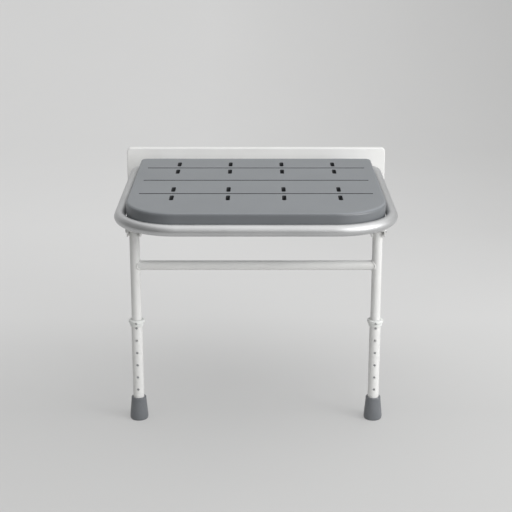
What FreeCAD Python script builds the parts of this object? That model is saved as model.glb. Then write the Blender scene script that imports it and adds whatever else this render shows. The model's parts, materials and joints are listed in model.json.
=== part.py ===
# Fold down wall seat: a tray shaped wall plate, a hinged tube frame with a moulded seat,
# and a pair of folding legs with telescopic, height adjustable feet.
# Millimetres. +Z is up, the seat's front faces -Y, the wall is at +Y, +X is the viewer's right.
# The origin is on the floor, under the middle of the seat as it stands unfolded.
import FreeCAD, Part
import os
import Sketcher
from FreeCAD import Placement, Rotation, Vector

os.makedirs("parts", exist_ok=True)
doc = FreeCAD.newDocument("FoldDownWallSeat")

# Driving sizes
sheet = doc.addObject("Spreadsheet::Sheet", "Sizes")
SIZES = [
    ("wall_face", 274, "wall surface, behind the origin"),
    ("plate_overhang", 14.5, "wall plate, beyond the seat tubes on each side"),
    ("plate_height", 130, "wall plate, top to bottom"),
    ("plate_depth", 12, "wall plate, wall to front face"),
    ("plate_sheet", 2.5, "wall plate, sheet thickness"),
    ("plate_corner", 9, "wall plate, corner radius"),
    ("plate_edge", 2.5, "wall plate, rounding of the front edge"),
    ("plate_top", 445, "wall plate, top edge above the floor"),
    ("fixing_radius", 3.5, "holes for the wall screws"),
    ("fixing_inset", 45, "wall screws, outer columns from the plate's ends"),
    ("fixing_upper", 377, "wall screws, upper row above the floor"),
    ("fixing_lower", 341, "wall screws, lower row above the floor"),
    ("spacer_radius", 9, "spacers behind the wall screws"),
    ("axis_gap", 34, "seat hinge axis to the wall plate"),
    ("tube_height", 405, "seat tube centre above the floor"),
    ("tube_radius", 11, "seat tube, outside"),
    ("tube_wall", 2, "seat tube, wall"),
    ("frame_half", 259.5, "side tubes, centre from the middle"),
    ("frame_reach", 491, "hinge axis to the front tube's centre"),
    ("front_bend", 112, "front bends, centre line radius"),
    ("rear_bend", 36, "rear bends, centre line radius"),
    ("drain_radius", 2.5, "drain holes under the rear tube"),
    ("bearing_inset", 71.5, "hinge blocks, centre from the side tubes' centre lines"),
    ("bearing_width", 40, "hinge blocks, side to side"),
    ("bearing_clear", 0.25, "running clearance round the rear tube"),
    ("bearing_wall", 5, "hinge blocks, wall round the tube"),
    ("bearing_drop", 35, "hinge blocks, bottom below the axis"),
    ("bearing_screw_drop", 25, "block screws below the axis"),
    ("bearing_screw_half", 11, "block screws from the block's middle"),
    ("bearing_lip", 14, "lower half of the hinge cap, thickness"),
    ("screw_radius", 2.4, "M5 screws, plain shank"),
    ("screw_hole", 2.8, "clearance holes for the M5 screws"),
    ("screw_head", 4.6, "M5 screws, head radius"),
    ("screw_head_high", 3.2, "M5 screws, head height"),
    ("nut_radius", 4.6, "M5 nuts, across corners"),
    ("nut_high", 4, "M5 nuts, height"),
    ("ring_wall", 3, "locating rings on the rear tube"),
    ("ring_width", 8, "locating rings, side to side"),
    ("leg_back", 76, "leg plane behind the front tube's centre"),
    ("leg_inset", 29.5, "legs, inward from the side tubes' centre lines"),
    ("rail_width", 40, "front rail, front to back"),
    ("slim_rail_width", 30, "middle and rear rails, front to back"),
    ("rail_thick", 5, "rails, thickness"),
    ("middle_rail_back", 219, "middle rail, in front of the hinge axis"),
    ("rear_rail_back", 42, "rear rail, in front of the hinge axis"),
    ("pad_sink", 3, "seat's underside below the tube centre"),
    ("pad_thick", 32, "seat, thickness"),
    ("pad_gap", 1, "gap between the seat and the tubes"),
    ("pad_back_gap", 21, "hinge axis to the seat's back edge"),
    ("pad_rear_corner", 12, "seat, rear corner radius"),
    ("pad_edge", 7, "seat, rounding of the top edge"),
    ("groove_pitch", 109, "seat grooves, front to back"),
    ("groove_first", 112, "hinge axis to the rear groove"),
    ("groove_half", 227, "seat grooves, half length"),
    ("groove_width", 5.5, "seat grooves, width"),
    ("groove_deep", 4, "seat grooves, depth"),
    ("slot_pitch", 108, "drain slots, side to side"),
    ("slot_offset", 33, "drain slots, centre from their groove"),
    ("slot_half", 18.5, "drain slots, half length"),
    ("slot_radius", 4, "drain slots, half width"),
    ("pad_screw_half", 190, "seat screws, outer ones from the middle"),
    ("insert_radius", 3.8, "threaded inserts, outside"),
    ("insert_length", 14, "threaded inserts, length"),
    ("pivot_drop", 21.5, "leg pivot below the tube centre"),
    ("clevis_half", 16.5, "leg bracket, half length"),
    ("clevis_web", 3, "leg bracket, front wall thickness"),
    ("clevis_web_high", 11, "leg bracket, front wall height"),
    ("clevis_inner", 10.6, "leg bracket, inside of each cheek"),
    ("clevis_cheek", 2.5, "leg bracket, cheek thickness"),
    ("clevis_round", 10, "leg bracket, radius round the pivot"),
    ("pivot_radius", 3, "leg pivot bolts"),
    ("pivot_hole", 3.2, "bores for the leg pivot bolts"),
    ("pivot_head", 5, "leg pivot bolts, head radius"),
    ("pivot_head_high", 3.5, "leg pivot bolts, head height"),
    ("pivot_nut", 5.6, "leg pivot nuts, across corners"),
    ("pivot_nut_high", 5, "leg pivot nuts, height"),
    ("bush_radius", 4.5, "pivot bushes, outside"),
    ("bush_flange", 7, "pivot bushes, flange radius"),
    ("bush_flange_thick", 0.8, "pivot bushes, flange thickness"),
    ("leg_radius", 9.5, "upper legs, outside"),
    ("leg_wall", 1.5, "upper legs, wall"),
    ("leg_top", 7.5, "upper legs, above the pivot"),
    ("leg_end", 61, "upper legs, lower end above the floor"),
    ("cap_high", 1.6, "leg caps, above the tube"),
    ("cap_plug", 2.5, "leg caps, inside the tube"),
    ("bar_radius", 9, "cross bar, outside"),
    ("bar_height", 315, "cross bar above the floor"),
    ("outer_radius", 10.7, "extension tubes, outside"),
    ("outer_bore", 9.8, "extension tubes, bore radius"),
    ("outer_top", 203.8, "extension tubes, upper end above the floor"),
    ("hole_pitch", 25.4, "height holes, pitch"),
    ("hole_top", 190.6, "height holes, top one above the floor"),
    ("hole_count", 6, "height holes in each extension"),
    ("hole_radius", 2.4, "height holes, radius"),
    ("button_radius", 2.05, "snap buttons, radius"),
    ("button_out", 1.6, "snap buttons, beyond the extension tube"),
    ("button_flange", 3.4, "snap buttons, radius of the foot"),
    ("button_flange_thick", 1, "snap buttons, foot thickness"),
    ("leaf_half", 3, "snap springs, half width"),
    ("leaf_thick", 0.5, "snap springs, thickness"),
    ("leaf_length", 34, "snap springs, length below the button"),
    ("collar_radius", 15.4, "collars, rim radius"),
    ("collar_base", 12.8, "collars, radius at the lower end"),
    ("collar_low", 10, "collars, length on the tube"),
    ("collar_lip", 2.2, "collars, lip over the tube's end"),
    ("collar_rim", 4, "collars, height of the rim"),
    ("collar_screw_radius", 1.3, "collar screws, shank"),
    ("collar_screw_head", 2.4, "collar screws, head"),
    ("foot_radius", 17.8, "rubber feet, radius near the floor"),
    ("foot_neck", 14.4, "rubber feet, radius at the top"),
    ("foot_high", 46, "rubber feet, height"),
    ("foot_flare", 9, "rubber feet, height of the widest part"),
    ("foot_base", 16.2, "rubber feet, radius on the floor"),
    ("foot_floor", 8, "rubber feet, thickness under the tube"),
    ("foot_groove_deep", 1.5, "rubber feet, depth of the grip grooves"),
    ("washer_thick", 1.5, "steel discs in the feet"),
]
for row, (alias, number, note) in enumerate(SIZES, start=1):
    sheet.set(f"A{row}", note)
    sheet.set(f"B{row}", str(number))
    sheet.setAlias(f"B{row}", alias)
doc.recompute()

# Places worked out from the driving sizes
AXIS_Y = "(Sizes.wall_face - Sizes.plate_depth - Sizes.axis_gap)"
FRONT_Y = f"({AXIS_Y} - Sizes.frame_reach)"
LEG_Y = f"({FRONT_Y} + Sizes.leg_back)"
RAIL_TOP = "(Sizes.tube_height - Sizes.pad_sink)"
RAIL_BOTTOM = f"({RAIL_TOP} - Sizes.rail_thick)"
PIVOT_Z = "(Sizes.tube_height - Sizes.pivot_drop)"
LEG_HALF = "(Sizes.frame_half - Sizes.leg_inset)"
BEARING_HALF = "(Sizes.frame_half - Sizes.bearing_inset)"
PLATE_HALF = "(Sizes.frame_half + Sizes.tube_radius + Sizes.plate_overhang)"
FIXING_HALF = f"({PLATE_HALF} - Sizes.fixing_inset)"
BUTTON_Z = "(Sizes.hole_top - Sizes.hole_pitch)"
SIDES = (("left", "-1"), ("right", "1"))

ALONG_X = Rotation(Vector(0, 1, 0), 90)
ALONG_Y = Rotation(Vector(1, 0, 0), -90)
ALONG_Z = Rotation()


def value(expression):
    """The number that an expression on the sheet gives now."""
    return float(sheet.evalExpression(expression))


def put(thing, at, turn=ALONG_Z):
    """Place an object: a fixed turn, and a position bound to the sheet."""
    thing.Placement = Placement(Vector(), turn)
    for letter, expression in zip("xyz", at):
        thing.setExpression(f"Placement.Base.{letter}", expression)
    return thing


def rod(name, radius, length, at, turn=ALONG_Z):
    made = doc.addObject("Part::Cylinder", name)
    made.setExpression("Radius", radius)
    made.setExpression("Height", length)
    return put(made, at, turn)


def block(name, size, at):
    made = doc.addObject("Part::Box", name)
    for side, expression in zip(("Length", "Width", "Height"), size):
        made.setExpression(side, expression)
    return put(made, at)


def cut(name, base, tools):
    """Base less the tools, one Part::Cut after another; the last one takes the name."""
    for number, tool in enumerate(tools, start=1):
        last = number == len(tools)
        made = doc.addObject("Part::Cut", name if last else f"{name}_step_{number}")
        made.Base = base
        made.Tool = tool
        base = made
    return base


def join(name, members):
    made = doc.addObject("Part::MultiFuse", name)
    made.Shapes = members
    made.Refine = True
    return made


def group(name, members):
    """Separate solids under one name."""
    made = doc.addObject("Part::Compound", name)
    made.Links = members
    return made


def new_body(name, at=("0", "0", "0"), turn=ALONG_Z):
    return put(doc.addObject("PartDesign::Body", name), at, turn)


def new_sketch(body, name, role, offset="0"):
    """A sketch on one of the body's own origin planes, moved along its normal."""
    made = body.newObject("Sketcher::SketchObject", f"{body.Name}_{name}")
    plane = next(each for each in body.Origin.OriginFeatures if each.Role == role)
    made.AttachmentSupport = [(plane, "")]
    made.MapMode = "FlatFace"
    made.setExpression("AttachmentOffset.Base.z", offset)
    return made


def fix(sketch, kind, places, expression):
    """A sketch dimension bound to the sheet."""
    number = sketch.addConstraint(Sketcher.Constraint(kind, *places, value(expression)))
    sketch.setExpression(f"Constraints[{number}]", expression)


def outline(sketch, corners):
    """A closed outline of straight lines, each corner held by two bound dimensions."""
    first = sketch.GeometryCount
    spots = [Vector(value(across), value(up), 0) for across, up in corners]
    lines = [Part.LineSegment(a, b) for a, b in zip(spots, spots[1:] + spots[:1])]
    sketch.addGeometry(lines)
    for number in range(len(lines)):
        follower = first + (number + 1) % len(lines)
        sketch.addConstraint(Sketcher.Constraint("Coincident", first + number, 2, follower, 1))
    for number, (across, up) in enumerate(corners, start=first):
        fix(sketch, "DistanceX", (-1, 1, number, 1), across)
        fix(sketch, "DistanceY", (-1, 1, number, 1), up)


def circle(sketch, across, up, radius):
    number = sketch.addGeometry(
        Part.Circle(Vector(value(across), value(up), 0), Vector(0, 0, 1), value(radius)))
    fix(sketch, "DistanceX", (-1, 1, number, 3), across)
    fix(sketch, "DistanceY", (-1, 1, number, 3), up)
    fix(sketch, "Radius", (number,), radius)


def rounded(sketch, half, low, high, low_corner, high_corner):
    """A rectangle about the upright axis with round corners, two radii."""
    wide, bottom, top = value(half), value(low), value(high)
    small, large = value(low_corner), value(high_corner)
    ends = [
        ((-wide + small, bottom), (wide - small, bottom)),
        ((wide, bottom + small), (wide, top - large)),
        ((wide - large, top), (-wide + large, top)),
        ((-wide, top - large), (-wide, bottom + small)),
    ]
    middles = [
        (wide - small, bottom + small, small, 270),
        (wide - large, top - large, large, 0),
        (-wide + large, top - large, large, 90),
        (-wide + small, bottom + small, small, 180),
    ]
    first = sketch.GeometryCount
    for (start, stop), (across, up, radius, angle) in zip(ends, middles):
        sketch.addGeometry(Part.LineSegment(Vector(*start, 0), Vector(*stop, 0)))
        centre = Vector(across, up, 0)
        full = Part.Circle(centre, Vector(0, 0, 1), radius)
        begin = angle * 3.141592653589793 / 180
        sketch.addGeometry(Part.ArcOfCircle(full, begin, begin + 3.141592653589793 / 2))
    for number in range(8):
        follower = first + (number + 1) % 8
        sketch.addConstraint(Sketcher.Constraint("Tangent", first + number, 2, follower, 1))
    for number in (0, 4):
        sketch.addConstraint(Sketcher.Constraint("Horizontal", first + number))
    for number in (2, 6):
        sketch.addConstraint(Sketcher.Constraint("Vertical", first + number))
    fix(sketch, "DistanceY", (-1, 1, first, 1), low)
    fix(sketch, "DistanceX", (-1, 1, first + 2, 1), half)
    fix(sketch, "DistanceY", (-1, 1, first + 4, 1), high)
    fix(sketch, "DistanceX", (-1, 1, first + 6, 1), f"-({half})")
    fix(sketch, "Radius", (first + 1,), low_corner)
    fix(sketch, "Radius", (first + 3,), high_corner)
    fix(sketch, "Radius", (first + 5,), high_corner)
    fix(sketch, "Radius", (first + 7,), low_corner)


def slot(sketch, across, up, half, radius):
    """A round ended slot that runs up the sketch."""
    x, y, reach, r = value(across), value(up), value(half), value(radius)
    straight = reach - r
    first = sketch.GeometryCount
    turn = 3.141592653589793
    upper = Part.Circle(Vector(x, y + straight, 0), Vector(0, 0, 1), r)
    lower = Part.Circle(Vector(x, y - straight, 0), Vector(0, 0, 1), r)
    sketch.addGeometry(Part.LineSegment(Vector(x + r, y - straight, 0), Vector(x + r, y + straight, 0)))
    sketch.addGeometry(Part.ArcOfCircle(upper, 0, turn))
    sketch.addGeometry(Part.LineSegment(Vector(x - r, y + straight, 0), Vector(x - r, y - straight, 0)))
    sketch.addGeometry(Part.ArcOfCircle(lower, turn, 2 * turn))
    for number in range(4):
        follower = first + (number + 1) % 4
        sketch.addConstraint(Sketcher.Constraint("Tangent", first + number, 2, follower, 1))
    for number in (1, 3):
        fix(sketch, "DistanceX", (-1, 1, first + number, 3), across)
    fix(sketch, "DistanceY", (-1, 1, first + 1, 3), f"{up} + {half} - {radius}")
    fix(sketch, "DistanceY", (-1, 1, first + 3, 3), f"{up} - {half} + {radius}")
    fix(sketch, "Radius", (first + 1,), radius)


def extrude(body, name, sketch, length, kind="Pad", back=False, through=False):
    made = body.newObject(f"PartDesign::{kind}", f"{body.Name}_{name}")
    made.Profile = sketch
    made.Reversed = back
    if through:
        made.Type = "ThroughAll"
    else:
        made.setExpression("Length", length)
    doc.recompute()
    return made


def spin(body, name, sketch):
    made = body.newObject("PartDesign::Revolution", f"{body.Name}_{name}")
    made.Profile = sketch
    made.ReferenceAxis = (sketch, ["V_Axis"])
    made.Angle = 360
    doc.recompute()
    return made


def round_edges(body, name, base, radius, wanted):
    """Round the edges of the last feature that the test picks out."""
    edges = [f"Edge{n}" for n, edge in enumerate(base.Shape.Edges, start=1) if wanted(edge)]
    made = body.newObject("PartDesign::Fillet", f"{body.Name}_{name}")
    made.Base = (base, edges)
    made.setExpression("Radius", radius)
    doc.recompute()
    return made


def lies(edge, letter, expression):
    """True if the whole edge lies at one height, distance or side."""
    box = edge.BoundBox
    low, high = getattr(box, f"{letter}Min"), getattr(box, f"{letter}Max")
    wanted = value(expression)
    return abs(low - wanted) < 1e-4 and abs(high - wanted) < 1e-4


# Wall plate: a pressed tray, open towards the wall
plate = new_body("wall_plate", ("0", "Sizes.wall_face", "Sizes.plate_top - Sizes.plate_height / 2"))
plate_outline = new_sketch(plate, "outline", "XZ_Plane")
rounded(plate_outline, PLATE_HALF, "-Sizes.plate_height / 2", "Sizes.plate_height / 2",
        "Sizes.plate_corner", "Sizes.plate_corner")
plate_pad = extrude(plate, "sheet", plate_outline, "Sizes.plate_depth")
round_edges(plate, "edge", plate_pad, "Sizes.plate_edge",
            lambda edge: lies(edge, "Y", "-Sizes.plate_depth"))
plate_inside = new_sketch(plate, "inside", "XZ_Plane")
rounded(plate_inside, f"{PLATE_HALF} - Sizes.plate_sheet",
        "-Sizes.plate_height / 2 + Sizes.plate_sheet", "Sizes.plate_height / 2 - Sizes.plate_sheet",
        "Sizes.plate_corner - Sizes.plate_sheet", "Sizes.plate_corner - Sizes.plate_sheet")
extrude(plate, "hollow", plate_inside, "Sizes.plate_depth - Sizes.plate_sheet", "Pocket", back=True)
plate_holes = new_sketch(plate, "holes", "XZ_Plane")
PLATE_MIDDLE = "(Sizes.plate_top - Sizes.plate_height / 2)"
FIXINGS = [(f"{column} * {FIXING_HALF}", row) for row in ("Sizes.fixing_upper", "Sizes.fixing_lower")
           for column in (-1, 0, 1)]
for column, row in FIXINGS:
    circle(plate_holes, column, f"{row} - {PLATE_MIDDLE}", "Sizes.fixing_radius")
BLOCK_SCREWS = [f"{side} * {BEARING_HALF} + {end} * Sizes.bearing_screw_half"
                for side in (-1, 1) for end in (-1, 1)]
for across in BLOCK_SCREWS:
    circle(plate_holes, across, f"Sizes.tube_height - Sizes.bearing_screw_drop - {PLATE_MIDDLE}",
           "Sizes.screw_hole")
extrude(plate, "drilled", plate_holes, None, "Pocket", back=True, through=True)

# Spacers that keep the sheet from bending when the wall screws are pulled tight
spacers = []
for number, (column, row) in enumerate(FIXINGS, start=1):
    start = (column, "Sizes.wall_face - Sizes.plate_depth + Sizes.plate_sheet", row)
    length = "Sizes.plate_depth - Sizes.plate_sheet"
    outside = rod(f"spacer_outside_{number}", "Sizes.spacer_radius", length, start, ALONG_Y)
    bore = rod(f"spacer_bore_{number}", "Sizes.fixing_radius", length, start, ALONG_Y)
    spacers.append(cut(f"spacer_{number}", outside, [bore]))
group("wall_spacers", spacers)

# Hinge blocks: a base against the plate and a cap in front of the rear tube
BLOCK_TOP = "(Sizes.tube_radius + Sizes.bearing_wall)"


def hinge_half(name, side, corners, back):
    """One half of a split bearing block, bored for the tube and drilled for its screws."""
    made = new_body(name, (f"{side} * {BEARING_HALF}", AXIS_Y, "Sizes.tube_height"))
    profile = new_sketch(made, "profile", "YZ_Plane", "-Sizes.bearing_width / 2")
    outline(profile, corners)
    shape = extrude(made, "solid", profile, "Sizes.bearing_width")
    if back:
        shape = round_edges(made, "nose", shape, f"{BLOCK_TOP} - 2",
                            lambda edge: lies(edge, "Y", f"-{BLOCK_TOP}")
                            and lies(edge, "Z", BLOCK_TOP))
    bore = new_sketch(made, "bore", "YZ_Plane", "Sizes.bearing_width / 2")
    circle(bore, "0", "0", "Sizes.tube_radius + Sizes.bearing_clear")
    extrude(made, "bored", bore, None, "Pocket", through=True)
    holes = new_sketch(made, "holes", "XZ_Plane")
    for end in (-1, 1):
        circle(holes, f"{end} * Sizes.bearing_screw_half", "-Sizes.bearing_screw_drop",
               "Sizes.screw_hole")
    extrude(made, "drilled", holes, None, "Pocket", back=back, through=True)
    return made


for side_name, side in SIDES:
    hinge_half(f"hinge_base_{side_name}", side, [
        ("0", "-Sizes.bearing_drop"), ("Sizes.axis_gap", "-Sizes.bearing_drop"),
        ("Sizes.axis_gap", BLOCK_TOP), ("0", BLOCK_TOP)], False)
    hinge_half(f"hinge_cap_{side_name}", side, [
        ("0", "-Sizes.bearing_drop"), ("0", BLOCK_TOP), (f"-{BLOCK_TOP}", BLOCK_TOP),
        (f"-{BLOCK_TOP}", "-Sizes.tube_radius"), ("-Sizes.bearing_lip", f"-{BLOCK_TOP}"),
        ("-Sizes.bearing_lip", "-Sizes.bearing_drop")], True)


def pan_screw(name, at, turn, head, head_high, shank, length):
    """A screw whose head sits at the given point and whose shank runs along the turn."""
    top = rod(f"{name}_head", head, head_high, ("0", "0", f"-{head_high}"))
    stem = rod(f"{name}_shank", shank, length, ("0", "0", "0"))
    rim = doc.addObject("Part::Fillet", f"{name}_rounded")
    rim.Base = top
    doc.recompute()
    edges = [n for n, edge in enumerate(top.Shape.Edges, start=1)
             if abs(edge.BoundBox.ZMax - top.Shape.BoundBox.ZMin) < 1e-4]
    rim.Edges = [(n, value(head_high) * 0.6, value(head_high) * 0.6) for n in edges]
    return put(join(name, [rim, stem]), at, turn)


def nut(name, at, turn, corners, high, bore):
    """A hexagon nut, its foot at the given point."""
    made = doc.addObject("Part::Prism", f"{name}_hexagon")
    made.Polygon = 6
    made.setExpression("Circumradius", corners)
    made.setExpression("Height", high)
    hole = rod(f"{name}_hole", bore, high, ("0", "0", "0"))
    return put(cut(name, made, [hole]), at, turn)


block_screws = []
block_nuts = []
for number, across in enumerate(BLOCK_SCREWS, start=1):
    height = "Sizes.tube_height - Sizes.bearing_screw_drop"
    block_screws.append(pan_screw(
        f"block_screw_{number}", (across, f"{AXIS_Y} - Sizes.bearing_lip", height), ALONG_Y,
        "Sizes.screw_head", "Sizes.screw_head_high", "Sizes.screw_radius",
        "Sizes.bearing_lip + Sizes.axis_gap + Sizes.plate_sheet + Sizes.nut_high + 1"))
    block_nuts.append(nut(
        f"block_nut_{number}", (across, f"{AXIS_Y} + Sizes.axis_gap + Sizes.plate_sheet", height),
        ALONG_Y, "Sizes.nut_radius", "Sizes.nut_high", "Sizes.screw_radius"))
group("hinge_cap_screws", block_screws)
group("hinge_cap_nuts", block_nuts)

# Seat frame: one closed loop of round tube, large bends in front and small ones at the back
TUBE_Z = "Sizes.tube_height"


loop_path = put(doc.addObject("Sketcher::SketchObject", "loop_path"), ("0", "0", TUBE_Z))
rounded(loop_path, "Sizes.frame_half", FRONT_Y, AXIS_Y, "Sizes.front_bend", "Sizes.rear_bend")


def tube_loop(name, radius):
    """A round section swept along the closed path, from the front line's left end."""
    section = doc.addObject("Part::Circle", f"{name}_section")
    section.setExpression("Radius", radius)
    put(section, ("-(Sizes.frame_half - Sizes.front_bend)", FRONT_Y, TUBE_Z), ALONG_X)
    made = doc.addObject("Part::Sweep", name)
    made.Sections = [section]
    made.Spine = (loop_path, [f"Edge{number}" for number in range(1, 9)])
    made.Solid = True
    made.Frenet = True
    return made


frame_outside = tube_loop("frame_outside", "Sizes.tube_radius")
frame_inside = tube_loop("frame_inside", "Sizes.tube_radius - Sizes.tube_wall")
drains = [rod(f"frame_drain_{name}", "Sizes.drain_radius", "Sizes.tube_radius",
              (f"{side} * {BEARING_HALF} / 2", AXIS_Y, f"{TUBE_Z} - Sizes.tube_radius - 1"))
          for name, side in SIDES]
cut("seat_frame", frame_outside, [frame_inside, *drains])

# Locating rings that stop the rear tube from sliding sideways in its blocks
for side_name, side in SIDES:
    middle = f"{side} * ({BEARING_HALF} + Sizes.bearing_width / 2 + Sizes.ring_width / 2 + 0.5)"
    start = (f"{middle} - Sizes.ring_width / 2", AXIS_Y, TUBE_Z)
    outside = rod(f"ring_outside_{side_name}", "Sizes.tube_radius + Sizes.ring_wall",
                  "Sizes.ring_width", start, ALONG_X)
    bore = rod(f"ring_bore_{side_name}", "Sizes.tube_radius", "Sizes.ring_width", start, ALONG_X)
    cut(f"tube_ring_{side_name}", outside, [bore])

# Rails: flat bars under the seat that end on the tubes, cut to the tubes' shape there
RAILS = (
    ("front_rail", LEG_Y, "Sizes.rail_width"),
    ("middle_rail", f"({AXIS_Y} - Sizes.middle_rail_back)", "Sizes.slim_rail_width"),
    ("rear_rail", f"({AXIS_Y} - Sizes.rear_rail_back)", "Sizes.slim_rail_width"),
)
SEAT_SCREWS = [(f"{column} * Sizes.pad_screw_half", middle) for _, middle, _ in RAILS
               for column in (-1, 0, 1)]
loop_area = new_body("loop_area", ("0", "0", RAIL_BOTTOM))
loop_outline = new_sketch(loop_area, "outline", "XY_Plane")
rounded(loop_outline, "Sizes.frame_half", FRONT_Y, AXIS_Y, "Sizes.front_bend", "Sizes.rear_bend")
extrude(loop_area, "solid", loop_outline, "Sizes.rail_thick")
for rail_name, middle, width in RAILS:
    bar = block(f"{rail_name}_bar", ("2 * Sizes.frame_half", width, "Sizes.rail_thick"),
                ("-Sizes.frame_half", f"{middle} - {width} / 2", RAIL_BOTTOM))
    inside = doc.addObject("Part::MultiCommon", f"{rail_name}_inside")
    inside.Shapes = [bar, loop_area]
    holes = [rod(f"{rail_name}_hole_{number}", "Sizes.screw_hole", "Sizes.rail_thick",
                 (f"{column} * Sizes.pad_screw_half", middle, RAIL_BOTTOM))
             for number, column in enumerate((-1, 0, 1), start=1)]
    cut(rail_name, inside, [frame_outside, *holes])

# Seat: one moulded piece with three grooves and sixteen drain slots
seat = new_body("seat_pad", ("0", AXIS_Y, RAIL_TOP))
seat_outline = new_sketch(seat, "outline", "XY_Plane")
SEAT_HALF = "(Sizes.frame_half - Sizes.tube_radius - Sizes.pad_gap)"
rounded(seat_outline, SEAT_HALF, "-Sizes.frame_reach + Sizes.tube_radius + Sizes.pad_gap",
        "-Sizes.pad_back_gap", "Sizes.front_bend - Sizes.tube_radius - Sizes.pad_gap",
        "Sizes.pad_rear_corner")
seat_solid = extrude(seat, "solid", seat_outline, "Sizes.pad_thick")
round_edges(seat, "edge", seat_solid, "Sizes.pad_edge",
            lambda edge: lies(edge, "Z", "Sizes.pad_thick"))
grooves = new_sketch(seat, "grooves", "XY_Plane", "Sizes.pad_thick")
for number in range(3):
    middle = f"-Sizes.groove_first - {number} * Sizes.groove_pitch"
    outline(grooves, [
        ("-Sizes.groove_half", f"{middle} - Sizes.groove_width / 2"),
        ("Sizes.groove_half", f"{middle} - Sizes.groove_width / 2"),
        ("Sizes.groove_half", f"{middle} + Sizes.groove_width / 2"),
        ("-Sizes.groove_half", f"{middle} + Sizes.groove_width / 2")])
extrude(seat, "grooved", grooves, "Sizes.groove_deep", "Pocket")
insert_holes = new_sketch(seat, "insert_holes", "XY_Plane")
for column, middle in SEAT_SCREWS:
    circle(insert_holes, column, f"{middle} - {AXIS_Y}", "Sizes.insert_radius")
extrude(seat, "socketed", insert_holes, "Sizes.insert_length + 1", "Pocket", back=True)
slots = new_sketch(seat, "slots", "XY_Plane", "Sizes.pad_thick")
for number in (0, 2):
    for offset in (-1, 1):
        slot(slots, "-1.5 * Sizes.slot_pitch",
             f"-Sizes.groove_first - {number} * Sizes.groove_pitch + {offset} * Sizes.slot_offset",
             "Sizes.slot_half", "Sizes.slot_radius")
slotted = extrude(seat, "slotted", slots, None, "Pocket", through=True)
slot_rows = seat.newObject("PartDesign::LinearPattern", "seat_pad_slot_rows")
slot_rows.Originals = [slotted]
slot_rows.Direction = (slots, ["H_Axis"])
slot_rows.Occurrences = 4
slot_rows.setExpression("Length", "3 * Sizes.slot_pitch")
seat.Tip = slot_rows

inserts = []
seat_screws = []
for number, (column, middle) in enumerate(SEAT_SCREWS, start=1):
    barrel = rod(f"insert_barrel_{number}", "Sizes.insert_radius", "Sizes.insert_length",
                 (column, middle, RAIL_TOP))
    thread = rod(f"insert_thread_{number}", "Sizes.screw_radius", "Sizes.insert_length",
                 (column, middle, RAIL_TOP))
    inserts.append(cut(f"insert_{number}", barrel, [thread]))
    seat_screws.append(pan_screw(
        f"seat_screw_{number}", (column, middle, RAIL_BOTTOM), ALONG_Z,
        "Sizes.screw_head", "Sizes.screw_head_high", "Sizes.screw_radius",
        "Sizes.rail_thick + Sizes.insert_length - 2"))
group("seat_inserts", inserts)
group("seat_screws", seat_screws)

# Leg brackets: two cheeks and a front wall under the front rail, with the pivot bolt and its nut
BOLT_REACH = "(Sizes.clevis_inner + Sizes.clevis_cheek)"
CLEVIS_DROP = "(Sizes.pivot_drop - Sizes.pad_sink - Sizes.rail_thick + Sizes.clevis_round)"
pivot_nuts = []
for side_name, side in SIDES:
    middle = f"{side} * {LEG_HALF}"
    bracket = new_body(f"bracket_whole_{side_name}", (middle, LEG_Y, f"{RAIL_BOTTOM} - {CLEVIS_DROP}"))
    profile = new_sketch(bracket, "profile", "XY_Plane")
    inner_front = "-Sizes.clevis_half + Sizes.clevis_web"
    outline(profile, [
        (f"-{BOLT_REACH}", "-Sizes.clevis_half"), (BOLT_REACH, "-Sizes.clevis_half"),
        (BOLT_REACH, "Sizes.clevis_half"), ("Sizes.clevis_inner", "Sizes.clevis_half"),
        ("Sizes.clevis_inner", inner_front), ("-Sizes.clevis_inner", inner_front),
        ("-Sizes.clevis_inner", "Sizes.clevis_half"), (f"-{BOLT_REACH}", "Sizes.clevis_half")])
    extrude(bracket, "folded", profile, CLEVIS_DROP)
    below_wall = new_sketch(bracket, "below_wall", "XY_Plane")
    outline(below_wall, [
        ("-Sizes.clevis_inner", "-Sizes.clevis_half"), ("Sizes.clevis_inner", "-Sizes.clevis_half"),
        ("Sizes.clevis_inner", inner_front), ("-Sizes.clevis_inner", inner_front)])
    trimmed = extrude(bracket, "trimmed", below_wall, f"{CLEVIS_DROP} - Sizes.clevis_web_high",
                      "Pocket", back=True)
    round_edges(bracket, "round", trimmed, "Sizes.clevis_round",
                lambda edge: lies(edge, "Z", "0") and edge.BoundBox.YLength < 0.001)
    hole = new_sketch(bracket, "hole", "YZ_Plane", BOLT_REACH)
    circle(hole, "0", "Sizes.clevis_round", "Sizes.pivot_hole")
    extrude(bracket, "drilled", hole, None, "Pocket", through=True)
    cut(f"leg_bracket_{side_name}", bracket, [frame_outside])

    outward = ALONG_X if side_name == "left" else Rotation(Vector(0, 1, 0), -90)
    pan_screw(f"pivot_bolt_{side_name}",
              (f"{middle} + {side} * {BOLT_REACH}", LEG_Y, PIVOT_Z), outward,
              "Sizes.pivot_head", "Sizes.pivot_head_high", "Sizes.pivot_radius",
              f"2 * {BOLT_REACH} + Sizes.pivot_nut_high + 1")
    pivot_nuts.append(nut(
        f"pivot_nut_{side_name}", (f"{middle} - {side} * {BOLT_REACH}", LEG_Y, PIVOT_Z), outward,
        "Sizes.pivot_nut", "Sizes.pivot_nut_high", "Sizes.pivot_radius"))
group("pivot_nuts", pivot_nuts)

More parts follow.
